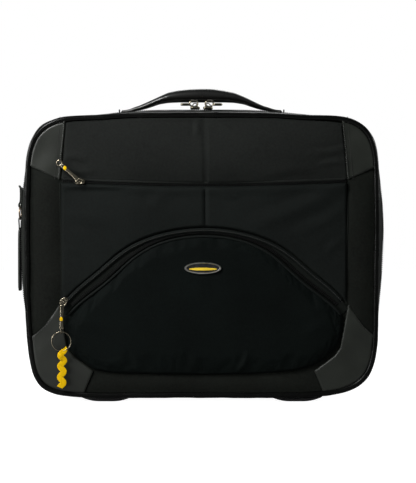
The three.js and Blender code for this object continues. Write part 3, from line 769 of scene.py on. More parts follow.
# Four corner patches of pebbled leatherette, sewn over the face under the
# piping; the upper two end in a raised ribbed seam on their inner side.
def patch(name, corners_out, corners_in, thick, lumps):
    """A pad between a stretch of the outline and an inner
    line of corners. The first and last points are shared."""
    outer = np.stack(outline(np.linspace(*corners_out, 90), -5.6), -1)
    inner = along_line(corners_in, 90)
    inner[0], inner[-1] = outer[0], outer[-1]
    grid = ruled(outer, inner, 30)
    x, z = grid[..., 0], grid[..., 1]
    relief = lumps * (np.sin(x / 9 + 1) * np.sin(z / 12) + 0.6 * np.sin((x - z) / 7))
    return padding(name, grid, FACE_Y, thick, 2.6, relief)


def outline_angle(x=None, z=None, near=0.0):
    """The angle near `near` at which the outline passes a given x or z."""
    angles = np.linspace(near - 0.8, near + 0.8, 6001)
    place = outline(angles, -5.6)
    miss = np.abs(place[0] - x) if z is None else np.abs(place[1] - z)
    return angles[np.argmin(miss)]


def mirrored(corners):
    """The same corners on the right of the centre seam, which stands at x = 3."""
    return [(6 - x, z) for x, z in corners]


upper_in = [
    (-209, 287), (-200, 283), (-189, 278), (-178, 273), (-171.5, 270.5), (-170, 285), (-168.3, 305),
    (-166, 328), (-164.8, 346),
]
lower_in = [
    (-209, 78), (-200, 84), (-190, 93), (-180, 107), (-172.4, 119), (-169.5, 104), (-162.5, 66), (-156, 57),
    (-145.5, 49), (-131, 38.5), (-136, 27), (-142, 12),
]
leatherette = finish(
    "leatherette", (0.0168, 0.019, 0.0155), 0.42, GRAIN, 850.0, 0.00008, Specular_IOR_Level=0.3,
)
# The left patches and the left rib wear a copy of the same leatherette, darker but glossier: its colour and
# gloss paint the stronger light from the lamps on the left.
left_leatherette_painted_light = finish(
    "leatherette_painted_left_light", (0.0122, 0.014, 0.0108), 0.4, GRAIN, 850.0, 0.00008, Specular_IOR_Level=0.45,
)
ends = {
    "upper_left": (
        outline_angle(z=287, near=2.6), outline_angle(x=-164.8, near=2.3), upper_in, 2.7, left_leatherette_painted_light,
    ),
    "upper_right": (
        outline_angle(z=287, near=0.5), outline_angle(x=170.8, near=0.8), mirrored(upper_in), 2.7,
        leatherette,
    ),
    "lower_left": (
        outline_angle(z=78, near=3.7), outline_angle(x=-142, near=4.1), lower_in, 2.5, left_leatherette_painted_light,
    ),
    "lower_right": (
        outline_angle(z=78, near=-0.5), outline_angle(x=148, near=-0.9), mirrored(lower_in), 2.5,
        leatherette,
    ),
}
for place, (start, end, inner, thick, skin) in ends.items():
    high_or_low, side = place.split("_")
    piece = patch(f"{high_or_low}_patch_{side}", (start, end), inner, thick, 0.22)
    put(piece, "door", "leatherette", skin, f"{high_or_low}_corner_patch_{side}")


def welt(name, line, base_y, radius, ripple=0.0, pitch=3.0, flat=1.0):
    """A sewn roll along a (x, z) line: a D section, `radius` high and `flat` times as wide to
    each side, pinched by its stitches `ripple` deep at every `pitch`; its two ends taper in."""
    path = joined(line[:, 0], base_y, line[:, 1])
    run = np.concatenate([[0], np.cumsum(np.linalg.norm(np.diff(line, axis=0), axis=1))])
    taper = np.clip(np.minimum(run, run[-1] - run) / (1.5 * radius), 0.05, 1) ** 0.5
    size = radius * taper * (1 - ripple * (0.5 + 0.5 * np.cos(2 * np.pi * run / pitch)))
    turn = full_turn(14)
    side = np.cos(turn)
    up = np.where(np.sin(turn) > 0, np.sin(turn), 0.25 * np.sin(turn))
    points = tube_along(path, flat * size[:, None] * side, size[:, None] * up)
    return surface(name, points, around=True, caps=True, sharp_degrees=60)


def stitches(name, line, y, pitch, length, width, body, material, slot="fabric"):
    """A run of short thread stitches lying along a (x, z) line at depth y."""
    path = joined(line[:, 0], y, line[:, 1])
    centres, ahead = spaced(path, pitch)
    out = np.array([0.0, -1.0, 0.0])
    across = np.cross(out, ahead)
    return put(teeth(name, centres, across, ahead, out, width, length, 0.5), body, slot, material)


thread = finish("black_thread", (0.03, 0.03, 0.028), 0.55, GRAIN, 1800.0, 0.00002, Specular_IOR_Level=0.35)
for side, corners in (("left", upper_in[4:]), ("right", mirrored(upper_in[4:]))):
    lean = 1 if side == "left" else -1
    line = along_line(corners, 260) + np.array([-1.4 * lean, 0])
    rib = welt(f"upper_patch_rib_{side}", line, FACE_Y - 1.6, 2.0, ripple=0.32, pitch=2.4, flat=1.05)
    put(rib, "door", "leatherette", left_leatherette_painted_light if side == "left" else leatherette)
    stitches(
        f"upper_patch_stitches_{side}", line - np.array([5.2 * lean, 0]), FACE_Y - 2.95, 3.2, 2.3, 0.7,
        "door", thread,
    )
for side, corners in (("left", lower_in), ("right", mirrored(lower_in))):
    lean = 1 if side == "left" else -1
    line = along_line(corners[1:4], 60) + np.array([-1.2 * lean, -2.6])
    stitches(
        f"lower_patch_stitches_{side}", line, FACE_Y - 2.75, 3.2, 2.3, 0.7, "door", thread, "leatherette",
    )

# Seams: a sunk dark cord down the left and right edge of the panels and along their middle, each pulled
# tight enough to dent the cloth; the cord is black thread and also painted shade for the seam's groove.
left_seam = along_line(
    [(-171.2, 346), (-171.5, 268), (-170.9, 230), (-169.6, 190), (-169.2, 150), (-169.6, 122)], 220,
)
right_seam = along_line([(178.6, 268), (178.2, 230), (176.8, 190), (175.8, 150), (176.2, 118)], 160)
left_seam = left_seam[left_seam[:, 1] < 268]
sunk = [
    ("side_seam_left", left_seam, FACE_Y + 0.5, 1.25), ("side_seam_right", right_seam, FACE_Y + 0.5, 1.25),
    ("centre_seam_upper", along_line(centre_top, 120), FACE_Y - 0.6, 0.75),
    ("centre_seam_lower", along_line(centre_low, 80), FACE_Y - 0.4, 0.75),
]
for name, line, depth, size in sunk:
    put(welt(name, line, depth, size, ripple=0.15, pitch=3.0), "door", "zip_tape", tape_cloth)

# The arch zip: a rolled welt of cloth outside, then the coil
# zip on its black tape, then a gap to the pocket's pad.
tape_rows = np.linspace(0, 1, 10)[:, None]
arch_run = np.radians(np.linspace(148.5, 31.8, 360))
radius_in, radius_out = arch_inner(arch_run) - 0.8, arch_outer(arch_run) - 1.0
radii = radius_in[None] + (radius_out - radius_in)[None] * tape_rows
grid = joined(ARCH_X + radii * np.cos(arch_run), ARCH_Z + radii * np.sin(arch_run))
put(padding("arch_zip_tape", grid, FACE_Y, 0.9, 0.8), "door", "zip_tape", tape_cloth, "arch_zip")
welt_run = np.radians(np.linspace(144.6, 35.4, 520))
welt_line = arch_point(welt_run, arch_outer(welt_run) - 3.2)
arch_outer_welt = welt("arch_outer_welt", welt_line, FACE_Y - 0.7, 3.0, ripple=0.05, pitch=7.0)
put(arch_outer_welt, "door", "panel_fabric", middle_nylon_painted_shade)
stitches(
    "arch_welt_stitches", arch_point(welt_run, arch_outer(welt_run) - 3.4), FACE_Y - 3.9, 3.0, 2.2, 0.6,
    "door", thread, "panel_fabric",
)
coil_line = arch_point(welt_run, arch_inner(welt_run) + 2.6)
path = joined(coil_line[:, 0], FACE_Y - 1.4, coil_line[:, 1])
centres, ahead = spaced(path, 2.2)
forward = np.array([0.0, -1.0, 0.0])
coil = teeth("arch_zip_teeth", centres, np.cross(forward, ahead), ahead, forward, 4.4, 1.4, 1.3)
put(coil, "door", "zip_tape", coil_plastic)
inner_run = np.radians(np.linspace(148, 32, 420))
rim = arch_point(inner_run, arch_inner(inner_run) - 2.6)
arch_inner_welt = welt("arch_inner_welt", rim, FACE_Y - 4.9, 1.6, ripple=0.06, pitch=7.0)
put(arch_inner_welt, "door", "panel_fabric", middle_nylon_painted_shade)

# The straight pocket zip, under a narrow flap of the upper panel.
line_x = np.linspace(SEAM_LEFT + 2, SEAM_RIGHT - 2, 300)
zip_z = pocket_line(line_x)
grid = ruled(joined(line_x, zip_z - 2.4), joined(line_x, zip_z + 2.2), 6)
put(padding("pocket_zip_tape", grid, FACE_Y, 0.8, 0.8), "door", "zip_tape", tape_cloth, "pocket_zip")
path = joined(line_x, FACE_Y - 1.2, zip_z - 0.3)
centres, ahead = spaced(path, 2.2)
pocket_zip_teeth = teeth("pocket_zip_teeth", centres, np.cross(forward, ahead), ahead, forward, 2.8, 1.4, 1.2)
put(pocket_zip_teeth, "door", "zip_tape", coil_plastic)
flap = welt(
    "pocket_zip_flap", joined(line_x, zip_z + 2.7), FACE_Y - 1.2, 1.5, ripple=0.05, pitch=9.0, flat=1.3,
)
put(flap, "door", "panel_fabric", upper_nylon_painted_light)
lip_line = joined(line_x, zip_z - 3.0)
pocket_zip_lip = welt("pocket_zip_lip", lip_line, FACE_Y - 0.7, 1.2, ripple=0.05, pitch=9.0, flat=1.2)
put(pocket_zip_lip, "door", "zip_tape", tape_cloth)


# The badge: a small cast oval with a raised satin rim, a dark
# enamel field and one plain yellow bar, with no lettering.
def oval(name, centre_x, centre_z, profile, count=72):
    """A closed oval turned from a profile of (half width, half height, y) rows, from the middle of the front
    round to the middle of the back."""
    turn = full_turn(count)
    rows = np.array(profile, float)
    x = centre_x + rows[:, :1] * np.cos(turn)
    z = centre_z + rows[:, 1:2] * np.sin(turn)
    points = joined(x, rows[:, 2:], z)
    return surface(name, points, around=True, sharp_degrees=35)


def metal(name, colour, rough, scratch=0.04):
    """Cast or plated metal: a slow mottle of the colour and roughness with very fine grain."""
    return finish(
        name, colour, rough, GRAIN, 700.0, 0.000012, spread=(0.75, 1.1), rough_spread=scratch + 0.04,
        Metallic=1.0,
    )


badge_metal = metal("badge_satin", (0.6, 0.585, 0.55), 0.3)
low, high = corners_of("badge")
bx, bz = (low[0] + high[0]) / 2, (low[2] + high[2]) / 2
a, b = (high[0] - low[0]) / 2, (high[2] - low[2]) / 2
front_y, back_y = low[1], high[1]
rim_rows = [
    (0, 0, front_y + 1.3), (a - 2.7, b - 2.0, front_y + 1.3), (a - 2.4, b - 1.7, front_y + 0.4),
    (a - 1.9, b - 1.3, front_y), (a - 0.9, b - 0.6, front_y + 0.1), (a - 0.3, b - 0.2, front_y + 0.7),
    (a, b, front_y + 1.6), (a, b, back_y), (0, 0, back_y),
]
put(oval("badge_rim", bx, bz, rim_rows), "door", "badge_metal", badge_metal, "badge")
enamel = finish("badge_enamel", (0.012, 0.012, 0.013), 0.25, GRAIN, 300.0, 0.000005, Coat_Weight=0.4)
field = [
    (0, 0, front_y + 0.75), (a - 3.2, b - 2.5, front_y + 0.8), (a - 2.7, b - 2.0, front_y + 1.2),
    (0, 0, front_y + 1.25),
]
put(oval("badge_field", bx, bz, field), "door", "badge_metal", enamel)
bar_paint = finish("badge_bar_paint", (0.8, 0.55, 0.03), 0.4, GRAIN, 300.0, 0.000005)
stripe = [
    (0, 0, front_y + 0.35), (a - 6.0, 1.35, front_y + 0.4), (a - 5.4, 1.8, front_y + 0.85),
    (0, 0, front_y + 0.9),
]
put(oval("badge_bar", bx, bz - 1.2, stripe, count=32), "door", "badge_metal", bar_paint)


# Zip sliders and pullers, in satin nickel. Each slider is a domed body with a bridge
# over it; its puller is a cast bar on a hoop through the bridge, and swings on its own.
nickel = metal("satin_nickel", (0.27, 0.24, 0.18), 0.2)
yellow_enamel = finish("yellow_enamel", (0.9, 0.5, 0.0), 0.5, GRAIN, 300.0, 0.000005, Specular_IOR_Level=0.1)


def squared(wave, power):
    """A sine or cosine flattened towards plus and minus one, which squares off a circle."""
    return np.sign(wave) * np.abs(wave) ** power


def loft(name, path, wide, deep, power=3.0, count=20, loop=False, **how):
    """A closed bar along an XZ path whose section is a superellipse: half size `wide` across and
    `deep` along Y, both of which may change along the path; a higher power gives squarer sides."""
    turn = full_turn(count)
    c, s = (squared(k, 2 / power) for k in (np.cos(turn), np.sin(turn)))
    wide, deep = (np.broadcast_to(np.asarray(k, float), len(path))[:, None] for k in (wide, deep))
    points = tube_along(np.asarray(path, float), wide * c, deep * s, loop=loop)
    return surface(name, points, around=True, along=loop, caps=not loop, **how)


def rounded(length, tip, count=24):
    """Distances from 0 to length, closer at both ends, and the factor by which a bar narrows there: a quarter
    round of length `tip` at each end."""
    at = length * (1 - np.cos(np.linspace(0, np.pi, count))) / 2
    left = np.clip(np.minimum(at, length - at) / tip, 0.002, 1)
    return at, np.sqrt(1 - (1 - left) ** 2)


def bar(name, start, end, y, wide, deep, tip, power=3.0, waist=0.0):
    """A straight bar with rounded ends from start to end, (x, z) points, thinner by `waist` at its middle."""
    start, end = np.array(start, float), np.array(end, float)
    length = np.linalg.norm(end - start)
    at, narrow = rounded(length, tip)
    share = at / length
    x, z = (start + (end - start) * share[:, None]).T
    slim = 1 - waist * np.sin(np.pi * share) ** 2
    return loft(name, joined(x, y, z), wide * narrow * slim, deep * narrow**0.6, power)


def ring_tube(name, centre, y, half_x, half_z, wire, turns=1, gap=0.0, count=72, upright=False):
    """A wire ring round an oval. With two turns it is a split ring: a flat
    coil whose ends lie on its neighbour. An upright ring stands in the YZ
    plane, with `y` and the first centre value as its place in depth and width."""
    around = np.linspace(0, 2 * np.pi * turns, count * turns, endpoint=turns > 1)
    path = joined(
        centre[0] + half_x * np.cos(around), y + gap * (around / np.pi / turns - 1),
        centre[1] + half_z * np.sin(around),
    )
    obj = loft(name, path, wire, wire, 2.0, 12, loop=turns == 1, sharp_degrees=60)
    if upright:
        turned = points_of(obj.data)
        mid = np.array([centre[0], y]) * MM
        side = turned[:, :2] - mid
        turned[:, :2] = mid + joined(side[:, 1], side[:, 0])
        obj.data.vertices.foreach_set("co", turned.ravel())
        finish_mesh(obj, True, 60)
    return obj


def slider(name, centre, y, turn_degrees, length, width, height, body, node):
    """A slider: a body pinched at one end like a drop, and a bridge, both standing on the zip at depth y."""
    along = np.radians(turn_degrees)
    ahead = np.array([np.cos(along), np.sin(along)])
    centre = np.array(centre, float)
    at, narrow = rounded(length, 2.2)
    x, z = (centre + ahead * (at[:, None] - length / 2)).T
    drop = 1 - 0.22 * at / length
    shell = loft(name, joined(x, y, z), width / 2 * narrow * drop, height / 2 * narrow**0.5, 3.4)
    put(shell, body, "nickel", nickel, node)
    bridge_path = np.linspace(-length * 0.32, length * 0.32, 22)
    lift = (height / 2 + 2.3) * np.sqrt(np.clip(1 - (bridge_path / (length * 0.34)) ** 2, 0, 1))
    x, z = (centre + ahead * bridge_path[:, None]).T
    across = np.array([-ahead[1], 0, ahead[0]])
    path = joined(x, y - lift + 0.3, z)
    up = np.gradient(path, axis=0)
    up = np.cross(up / np.linalg.norm(up, axis=1, keepdims=True), across)
    turn = full_turn(10)
    points = (
        path[:, None] + 1.2 * np.cos(turn)[None, :, None] * across
        + 0.6 * np.sin(turn)[None, :, None] * up[:, None]
    )
    bridge = surface(f"{name}_bridge", points, around=True, caps=True)
    return put(bridge, body, "nickel", nickel)


def middle_of(node):
    """The middle of a CAD node's box, in millimetres."""
    return sum(corners_of(node)) / 2


# The arch zip's slider, at the arch's left foot, and its puller: a
# hoop, a slim bar with a yellow dot, and an eye for the split ring.
SLIDER_AT = arch_point(np.radians(145), 208)
SLIDER_Y = -97.6
slider("arch_slider_body", SLIDER_AT, SLIDER_Y, 55, 12, 8.4, 3.4, "arch_zip_slider", "arch_slider")
PULL_Y = middle_of("key_ring")[1]
pull_x = SLIDER_AT[0] - 2.6
hoop = ring_tube("arch_pull_hoop", SLIDER_AT, PULL_Y, 3.7, 3.9, 0.95)
put(hoop, "arch_zip_puller", "nickel", nickel, "arch_puller")
pull = bar(
    "arch_pull_bar", (pull_x + 0.6, SLIDER_AT[1] - 3.4), (pull_x, 88.4), PULL_Y, 2.8, 1.0, 2.4, 3.0,
    waist=0.3,
)
put(pull, "arch_zip_puller", "nickel", nickel)
arch_pull_eye = ring_tube("arch_pull_eye", (pull_x, 86.7), PULL_Y, 2.6, 2.6, 0.8, upright=True)
put(arch_pull_eye, "arch_zip_puller", "nickel", nickel)
dot_rows = [(0, 0, -0.55), (1.3, 1.8, -0.5), (1.9, 2.5, -0.2), (1.95, 2.6, 0.1), (0, 0, 0.1)]
dot = oval("arch_pull_dot", pull_x, 101.5, [(a, b, PULL_Y - 0.95 + y) for a, b, y in dot_rows], count=20)
put(dot, "arch_zip_puller", "nickel", yellow_enamel)

# The split ring: two flat turns of spring wire that carry the ribbon.
ring_centre = middle_of("key_ring")
key = ring_tube(
    "split_ring_wire", (ring_centre[0], ring_centre[2]), PULL_Y, 11.6, 11.6, 0.72, turns=2, gap=0.7,
)
put(key, "split_ring", "nickel", nickel, "key_ring")

# The ribbon: a wavy woven braid, 7.2 mm wide, looped over the split ring and hanging free to a cut end.
# Its route waves from side to side down the height of its CAD box.
low, high = corners_of("ribbon")
ribbon_top, ribbon_low = high[2] + 6.5, low[2]
RIBBON_WIDTH = 7.2
t = np.linspace(0, 1, 160)
drop = ribbon_top + (ribbon_low - ribbon_top) * t
wave = 2.3 * np.sin(2 * np.pi * 3.6 * t + 0.6)
ribbon_path = joined(ring_centre[0] + 1.5 - 1.2 * t + wave, PULL_Y, drop)
turn = full_turn(20)
flat_x = squared(np.cos(turn), 0.6) * RIBBON_WIDTH / 2
flat_y = squared(np.sin(turn), 0.6) * 0.75
ribbon_points = tube_along(ribbon_path, flat_x, flat_y)
ribs = 0.12 * np.sin(2 * np.pi * t * 44)[:, None] * np.sin(turn)[None, :]
ribbon_points[..., 1] -= ribs
over_ring = 1.9 * np.exp(-(((t - 0.2) / 0.07) ** 2))
ribbon_points[..., 1] -= over_ring[:, None]
ribbon = surface("wavy_ribbon", ribbon_points, around=True, caps=True, sharp_degrees=60)
ribbon_path[:, 1] -= over_ring
braid = finish("ribbon_braid", (0.82, 0.5, 0.0), 0.6, WEAVE, 0.0009, 0.00006, spread=(0.9, 1.05),
               Specular_IOR_Level=0.1)
put(ribbon, "split_ring", "yellow_ribbon", braid, "ribbon")

# The pocket zip's slider and its long puller, which lies up and to the left.
pocket_at = middle_of("pocket_slider")[[0, 2]]
slider(
    "pocket_slider_body", (pocket_at[0], 268), SLIDER_Y, 0, 12, 8, 3.4, "pocket_zip_slider",
    "pocket_slider",
)
low, high = corners_of("pocket_puller")
pull_y = (low[1] + high[1]) / 2
tip = np.array([low[0] + 3.6, high[2] - 3.6])
root = np.array([pocket_at[0], 268.0])
pocket_pull_hoop = ring_tube("pocket_pull_hoop", root, pull_y, 3.2, 3.0, 0.9)
put(pocket_pull_hoop, "pocket_zip_puller", "nickel", nickel, "pocket_puller")
toward = (tip - root) / np.linalg.norm(tip - root)
stem = bar(
    "pocket_pull_bar", root + toward * 2.4, tip - toward * 3.0, pull_y, 2.7, 0.95, 2.6, 3.0, waist=0.28,
)
put(stem, "pocket_zip_puller", "nickel", nickel)
put(ring_tube("pocket_pull_eye", tip, pull_y, 3.2, 3.2, 1.1), "pocket_zip_puller", "nickel", nickel)
dot_at = root + toward * (np.linalg.norm(tip - root) - 9)
dot = oval(
    "pocket_pull_dot", dot_at[0], dot_at[1], [(a, b, pull_y - 0.9 + y) for a, b, y in dot_rows], count=20,
)
put(dot, "pocket_zip_puller", "nickel", yellow_enamel)


# The main zip's two sliders meet at the top, under the handle; their pullers, each an
# upright hoop and a thick tongue, lie on the zip and point outwards.
def level_bar(name, x0, x1, y, z, half_y, half_z, tip):
    """A flat bar along X: rounded at its ends, `half_y` deep and `half_z` high."""
    at, narrow = rounded(abs(x1 - x0), tip)
    path = joined(x0 + np.sign(x1 - x0) * at, y, z)
    return loft(name, path, half_z * narrow**0.5, half_y * narrow, 3.0)


for side, sign in (("left", -1), ("right", 1)):
    low, high = corners_of(f"main_slider_{side}")
    inner, far = sorted((low[0], high[0]), key=abs)
    body = level_bar(
        f"main_slider_body_{side}", inner, far, (low[1] + high[1]) / 2, low[2] + 1.8, 4.6, 1.9, 2.6,
    )
    put(body, f"main_zip_slider_{side}", "nickel", nickel, f"main_slider_{side}")
    t = np.linspace(0, np.pi, 16)
    mid = (inner + far) / 2
    path = joined(
        mid + 3.4 * np.cos(t), (low[1] + high[1]) / 2, low[2] + 2.6 + (high[2] - low[2] - 3.2) * np.sin(t),
    )
    main_slider_bridge = loft(f"main_slider_bridge_{side}", path, 0.6, 1.3, 2.4, 10)
    put(main_slider_bridge, f"main_zip_slider_{side}", "nickel", nickel)
    low, high = corners_of(f"main_puller_{side}")
    inner, far = sorted((low[0], high[0]), key=abs)
    mid_y, mid_z = (low[1] + high[1]) / 2, (low[2] + high[2]) / 2
    hoop_x = inner + sign * 5.2
    hoop = ring_tube(f"main_pull_hoop_{side}", np.array([hoop_x, mid_z + 1.6]), mid_y, 5.0, 3.6, 1.0)
    put(hoop, f"main_zip_puller_{side}", "nickel", nickel, f"main_puller_{side}")
    tab = level_bar(f"main_pull_bar_{side}", hoop_x + sign * 4.0, far, mid_y, mid_z + 0.6, 3.4, 1.7, 3.0)
    put(tab, f"main_zip_puller_{side}", "nickel", nickel)


# The carry handle: a leather-covered grip, moulded full in the middle, whose thin strap ends
# fold round a pin in each anchor. A stitched seam runs along each side of its underside.
leather = finish(
    "handle_leather", (0.006, 0.0058, 0.0054), 0.3, GRAIN, 620.0, 0.00005, Specular_IOR_Level=0.5,
    Coat_Weight=0.2,
)
leather.node_tree.nodes["Principled BSDF"].inputs["Coat Roughness"].default_value = 0.3
GRIP_Y = middle_of("carry_handle")[1]
SEAM_AT = 0.55
grip_rows = np.array(
    [
        (102, 360.0, 2.0, 2.6), (97, 360.0, 2.1, 2.8), (91, 360.9, 2.3, 3.6), (84, 363.2, 2.7, 5.2),
        (78, 364.6, 3.1, 7.0), (67, 368.6, 4.1, 9.4), (54, 374.0, 4.9, 11.6), (42, 377.6, 6.5, 13),
        (29, 379.2, 7.6, 13), (15, 380.1, 8.5, 13), (0, 380.3, 8.7, 13),
    ]
)
grip_rows = np.vstack([grip_rows, (grip_rows * [-1, 1, 1, 1])[-2::-1]])[::-1]
at = np.linspace(-102, 102, 205)
smooth = np.stack([np.interp(at, grip_rows[:, 0], grip_rows[:, k]) for k in (1, 2, 3)], -1)
kernel = np.hanning(11) / np.hanning(11).sum()
smooth = np.stack([np.convolve(np.pad(smooth[:, k], 5, "edge"), kernel, "valid") for k in range(3)], -1)
centre_z, half_z, half_y = smooth.T
end = np.clip((102 - np.abs(at)) / 2.0, 0.02, 1) ** 0.5
grip_path = joined(at, GRIP_Y, centre_z)
turn = full_turn(48)
side_on, upward = np.cos(turn), np.sin(turn)
section_y = squared(side_on, 2 / 2.5)
section_z = squared(upward, 2 / 2.3)
y = GRIP_Y + (half_y * end)[:, None] * section_y
z = centre_z[:, None] + (half_z * end)[:, None] * section_z
seam_groove = (
    np.exp(-(((upward + SEAM_AT) / 0.07) ** 2)) * np.clip((70 - np.abs(at)) / 8, 0, 1)[:, None] * 0.5
)
y = y - np.sign(side_on) * seam_groove
z = z + 0.15 * np.sin(at / 7)[:, None] * np.clip(upward, 0, 1)
grip = surface("carry_grip", joined(at[:, None], y, z), around=True, caps=True, sharp_degrees=60)
put(grip, "handle", "gloss_black", leather, "carry_handle")
for side, sign in (("front", -1), ("rear", 1)):
    seam_x = np.linspace(-64, 64, 200)
    depth = np.interp(seam_x, at, half_y) * (1 - SEAM_AT**2) ** 0.4
    height = np.interp(seam_x, at, centre_z) - np.interp(seam_x, at, half_z) * SEAM_AT ** (2 / 2.3)
    path = joined(seam_x, GRIP_Y + sign * (depth + 0.15), height - 0.9)
    centres, ahead = spaced(path, 3.4)
    out = np.array([0.0, sign * 0.9, -0.43])
    grip_stitches = teeth(f"grip_stitches_{side}", centres, np.cross(out, ahead), ahead, out, 0.7, 2.5, 0.6)
    put(grip_stitches, "handle", "gloss_black", thread)


# The handle's anchors: bent steel straps, coated black,
# riveted through the band's top; the pin ends sit in them.
black_coat = finish(
    "black_coating", (0.014, 0.014, 0.014), 0.38, GRAIN, 900.0, 0.00002, Specular_IOR_Level=0.5,
)
satin_plastic = finish(
    "satin_plastic", (0.013, 0.013, 0.0135), 0.42, GRAIN, 1100.0, 0.00004, Specular_IOR_Level=0.45,
)
for side, sign in (("left", -1), ("right", 1)):
    t = np.linspace(0, np.pi / 2, 10)
    bend_x, bend_z = 102.4 + 1.8 * np.sin(t), 359.2 - 1.8 * np.cos(t)
    path_x = np.concatenate([[92.0, 92.6, 97, 101], bend_x, [104.25, 104.3]])
    path_z = np.concatenate([[357.4, 357.4, 357.4, 357.4], bend_z, [361.0, 362.4]])
    half = np.concatenate([[8.5, 9.6, 9.8, 9.6], np.linspace(9.0, 6.0, 10), [5.6, 4.2]])
    path = joined(sign * path_x, GRIP_Y, path_z)
    strap = loft(f"handle_anchor_strap_{side}", path, 0.8, half, 6.0, 24)
    put(strap, "case", "leatherette", black_coat, f"handle_anchor_{side}")
    rivet_x = sign * 97.0
    rows = np.array([(0, 1.5), (1.2, 1.3), (2.0, 0.8), (2.3, 0.1), (2.3, -0.6), (0, -0.6)])
    turn = full_turn(24)
    for place, off in (("front", -6.0), ("rear", 6.0)):
        points = joined(
            rivet_x + rows[:, :1] * np.cos(turn), GRIP_Y + off + rows[:, :1] * np.sin(turn),
            358.2 + np.broadcast_to(rows[:, 1:], (6, 24)),
        )
        put(surface(f"anchor_rivet_{side}_{place}", points, around=True), "case", "nickel", nickel)

# Two moulded feet under the front edge, lowest in the middle and rounded off at both ends.
gloss_black = finish(
    "gloss_moulding", (0.011, 0.011, 0.012), 0.2, GRAIN, 500.0, 0.00001, Specular_IOR_Level=0.6,
)
for side in ("left", "right"):
    low, high = corners_of(f"front_foot_{side}")
    mid_x, mid_y, top = (low[0] + high[0]) / 2, (low[1] + high[1]) / 2 + 1.8, high[2] - 0.5
    t = np.linspace(-1, 1, 61)
    under = top * np.clip(np.abs(t) * 1.35 - 0.35, 0, 1) ** 2 * 0.85 + 0.02
    path = joined(mid_x + 31 * t, mid_y, (top + under) / 2)
    foot = loft(f"front_foot_moulding_{side}", path, (top - under) / 2, 13.2 * (1 - 0.12 * t**4), 5.0, 28)
    put(foot, "case", "gloss_black", gloss_black, f"front_foot_{side}")

# Left side: a leatherette tab sewn to the band holds an oval ring, and a luggage tag hangs from the ring.
def smooth_strip(x, z):
    """A path of 60 points at y = 0 through (x, z) corners, with its bends softened."""
    run = np.linspace(0, 1, 60)
    fine = (np.interp(run, np.linspace(0, 1, len(k)), k) for k in (x, z))
    soft_x, soft_z = (np.convolve(np.pad(k, 2, "edge"), np.ones(5) / 5, "valid") for k in fine)
    return joined(soft_x, 0.0, soft_z)


path_x = np.concatenate(
    [[-227.3, -227.2, -227.1], [-227.3, -227.8], [-229.4, -230.9, -230.6, -229.2], [-228.7, -228.6, -228.9]]
)
path_z = np.concatenate([[264.5, 256, 248], [243, 239.8], [238.0, 239.6, 242.6, 244.4], [248, 256, 262.5]])
strap = loft("side_tab_strap", smooth_strip(path_x, path_z), 0.62, 7.8, 8.0, 20)
put(strap, "case", "leatherette", leatherette, "side_tab")
peak = bar("side_tab_peak", (-227.8, 260.5), (-230.6, 266.2), 0.0, 1.0, 7.0, 1.2, 4.0)
put(peak, "case", "leatherette", leatherette)
ring_middle = middle_of("side_ring")
bronze = metal("antique_ring", (0.32, 0.25, 0.18), 0.36)
oval_ring = ring_tube("side_ring_wire", (ring_middle[0], ring_middle[2]), 0.0, 12.5, 8.3, 1.1, upright=True)
put(oval_ring, "ring", "nickel", bronze, "side_ring")
tag_x = -229.3
tag_z = np.concatenate([np.linspace(133.2, 139, 12), np.linspace(142, 204, 20), np.linspace(206, 212.8, 12)])
corner_gap = np.clip(np.minimum(tag_z - 133, 213 - tag_z) / 7, 0.02, 1)
half_y = 8 + 6 * np.sqrt(1 - (1 - corner_gap) ** 2)
path = joined(tag_x + 0.25 * np.sin(tag_z / 14), 0.0, tag_z)
put(loft("luggage_tag_body", path, 1.15, half_y, 9.0, 28), "tag", "leatherette", leatherette, "id_tag")
turn = full_turn(24)
frame_rows = full_turn(80)
c, s = (squared(k, 0.35) for k in (np.cos(frame_rows), np.sin(frame_rows)))
for label, half_wide, half_high, wire in (("border", 12.4, 37.2, 0.5), ("window", 9.0, 26.0, 0.7)):
    path = joined(half_wide * c, 0, 172.5 + half_high * s)
    points = tube_along(path, wire * np.cos(turn), wire * np.sin(turn), loop=True)
    points = joined(tag_x - 1.1 + points[..., 1], points[..., 0], points[..., 2])
    trim = surface(f"luggage_tag_{label}", points, around=True, along=True, sharp_degrees=60)
    put(trim, "tag", "leatherette", thread if label == "border" else black_coat)
neck_z = np.array([210, 214, 218, 221.5, 224.6, 226.2, 225.4, 222.6, 219.4, 216, 211])
neck_x = np.array([-230.6, -230.6, -230.8, -231.1, -230.9, -229.2, -227.6, -227.4, -227.9, -228.1, -228.1])
luggage_tag_loop = loft("luggage_tag_loop", smooth_strip(neck_x, neck_z), 0.5, 4.2, 8.0, 16)
put(luggage_tag_loop, "tag", "leatherette", leatherette)

# The back: one nylon panel over a board, crowned a little, with a sewn border.
share = np.concatenate([np.linspace(0, 0.8, 12), np.linspace(0.82, 1, 20)])
back_x, back_z = rings_inside(6.0, share)
border = np.exp(-(((share[:, None] - 0.93) / 0.008) ** 2))
swell = 1.6 * (1 - share[:, None] ** 6) - 0.7 * border
wave = 0.35 * np.sin(back_x / 34 + 1) * np.sin(back_z / 23) * (1 - share[:, None] ** 4)
front = joined(back_x, 88.9 + swell + wave, back_z)
back = plate("back_cloth", front, 86.2)
for side in ("left", "right"):
    low, high = corners_of(f"wheel_housing_{side}")
    cut_box(back, low + [0.4, -20, -20], high + [-0.4, 20, -0.4])
put(back, "case", "fabric", nylon, "back_panel")
border_line = np.stack(outline(fine_ring, -17.5), -1)
border_line = border_line[(border_line[:, 1] > 72) | (np.abs(border_line[:, 0]) < 125)]
upper_border = border_line[border_line[:, 1] > 72]
upper_border = np.roll(
    upper_border, -int(np.argmax(np.linalg.norm(np.diff(upper_border, axis=0), axis=1))) - 1, axis=0,
)
stitches("back_border_stitches", upper_border, 90.15, 3.6, 2.6, 0.7, "case", thread)
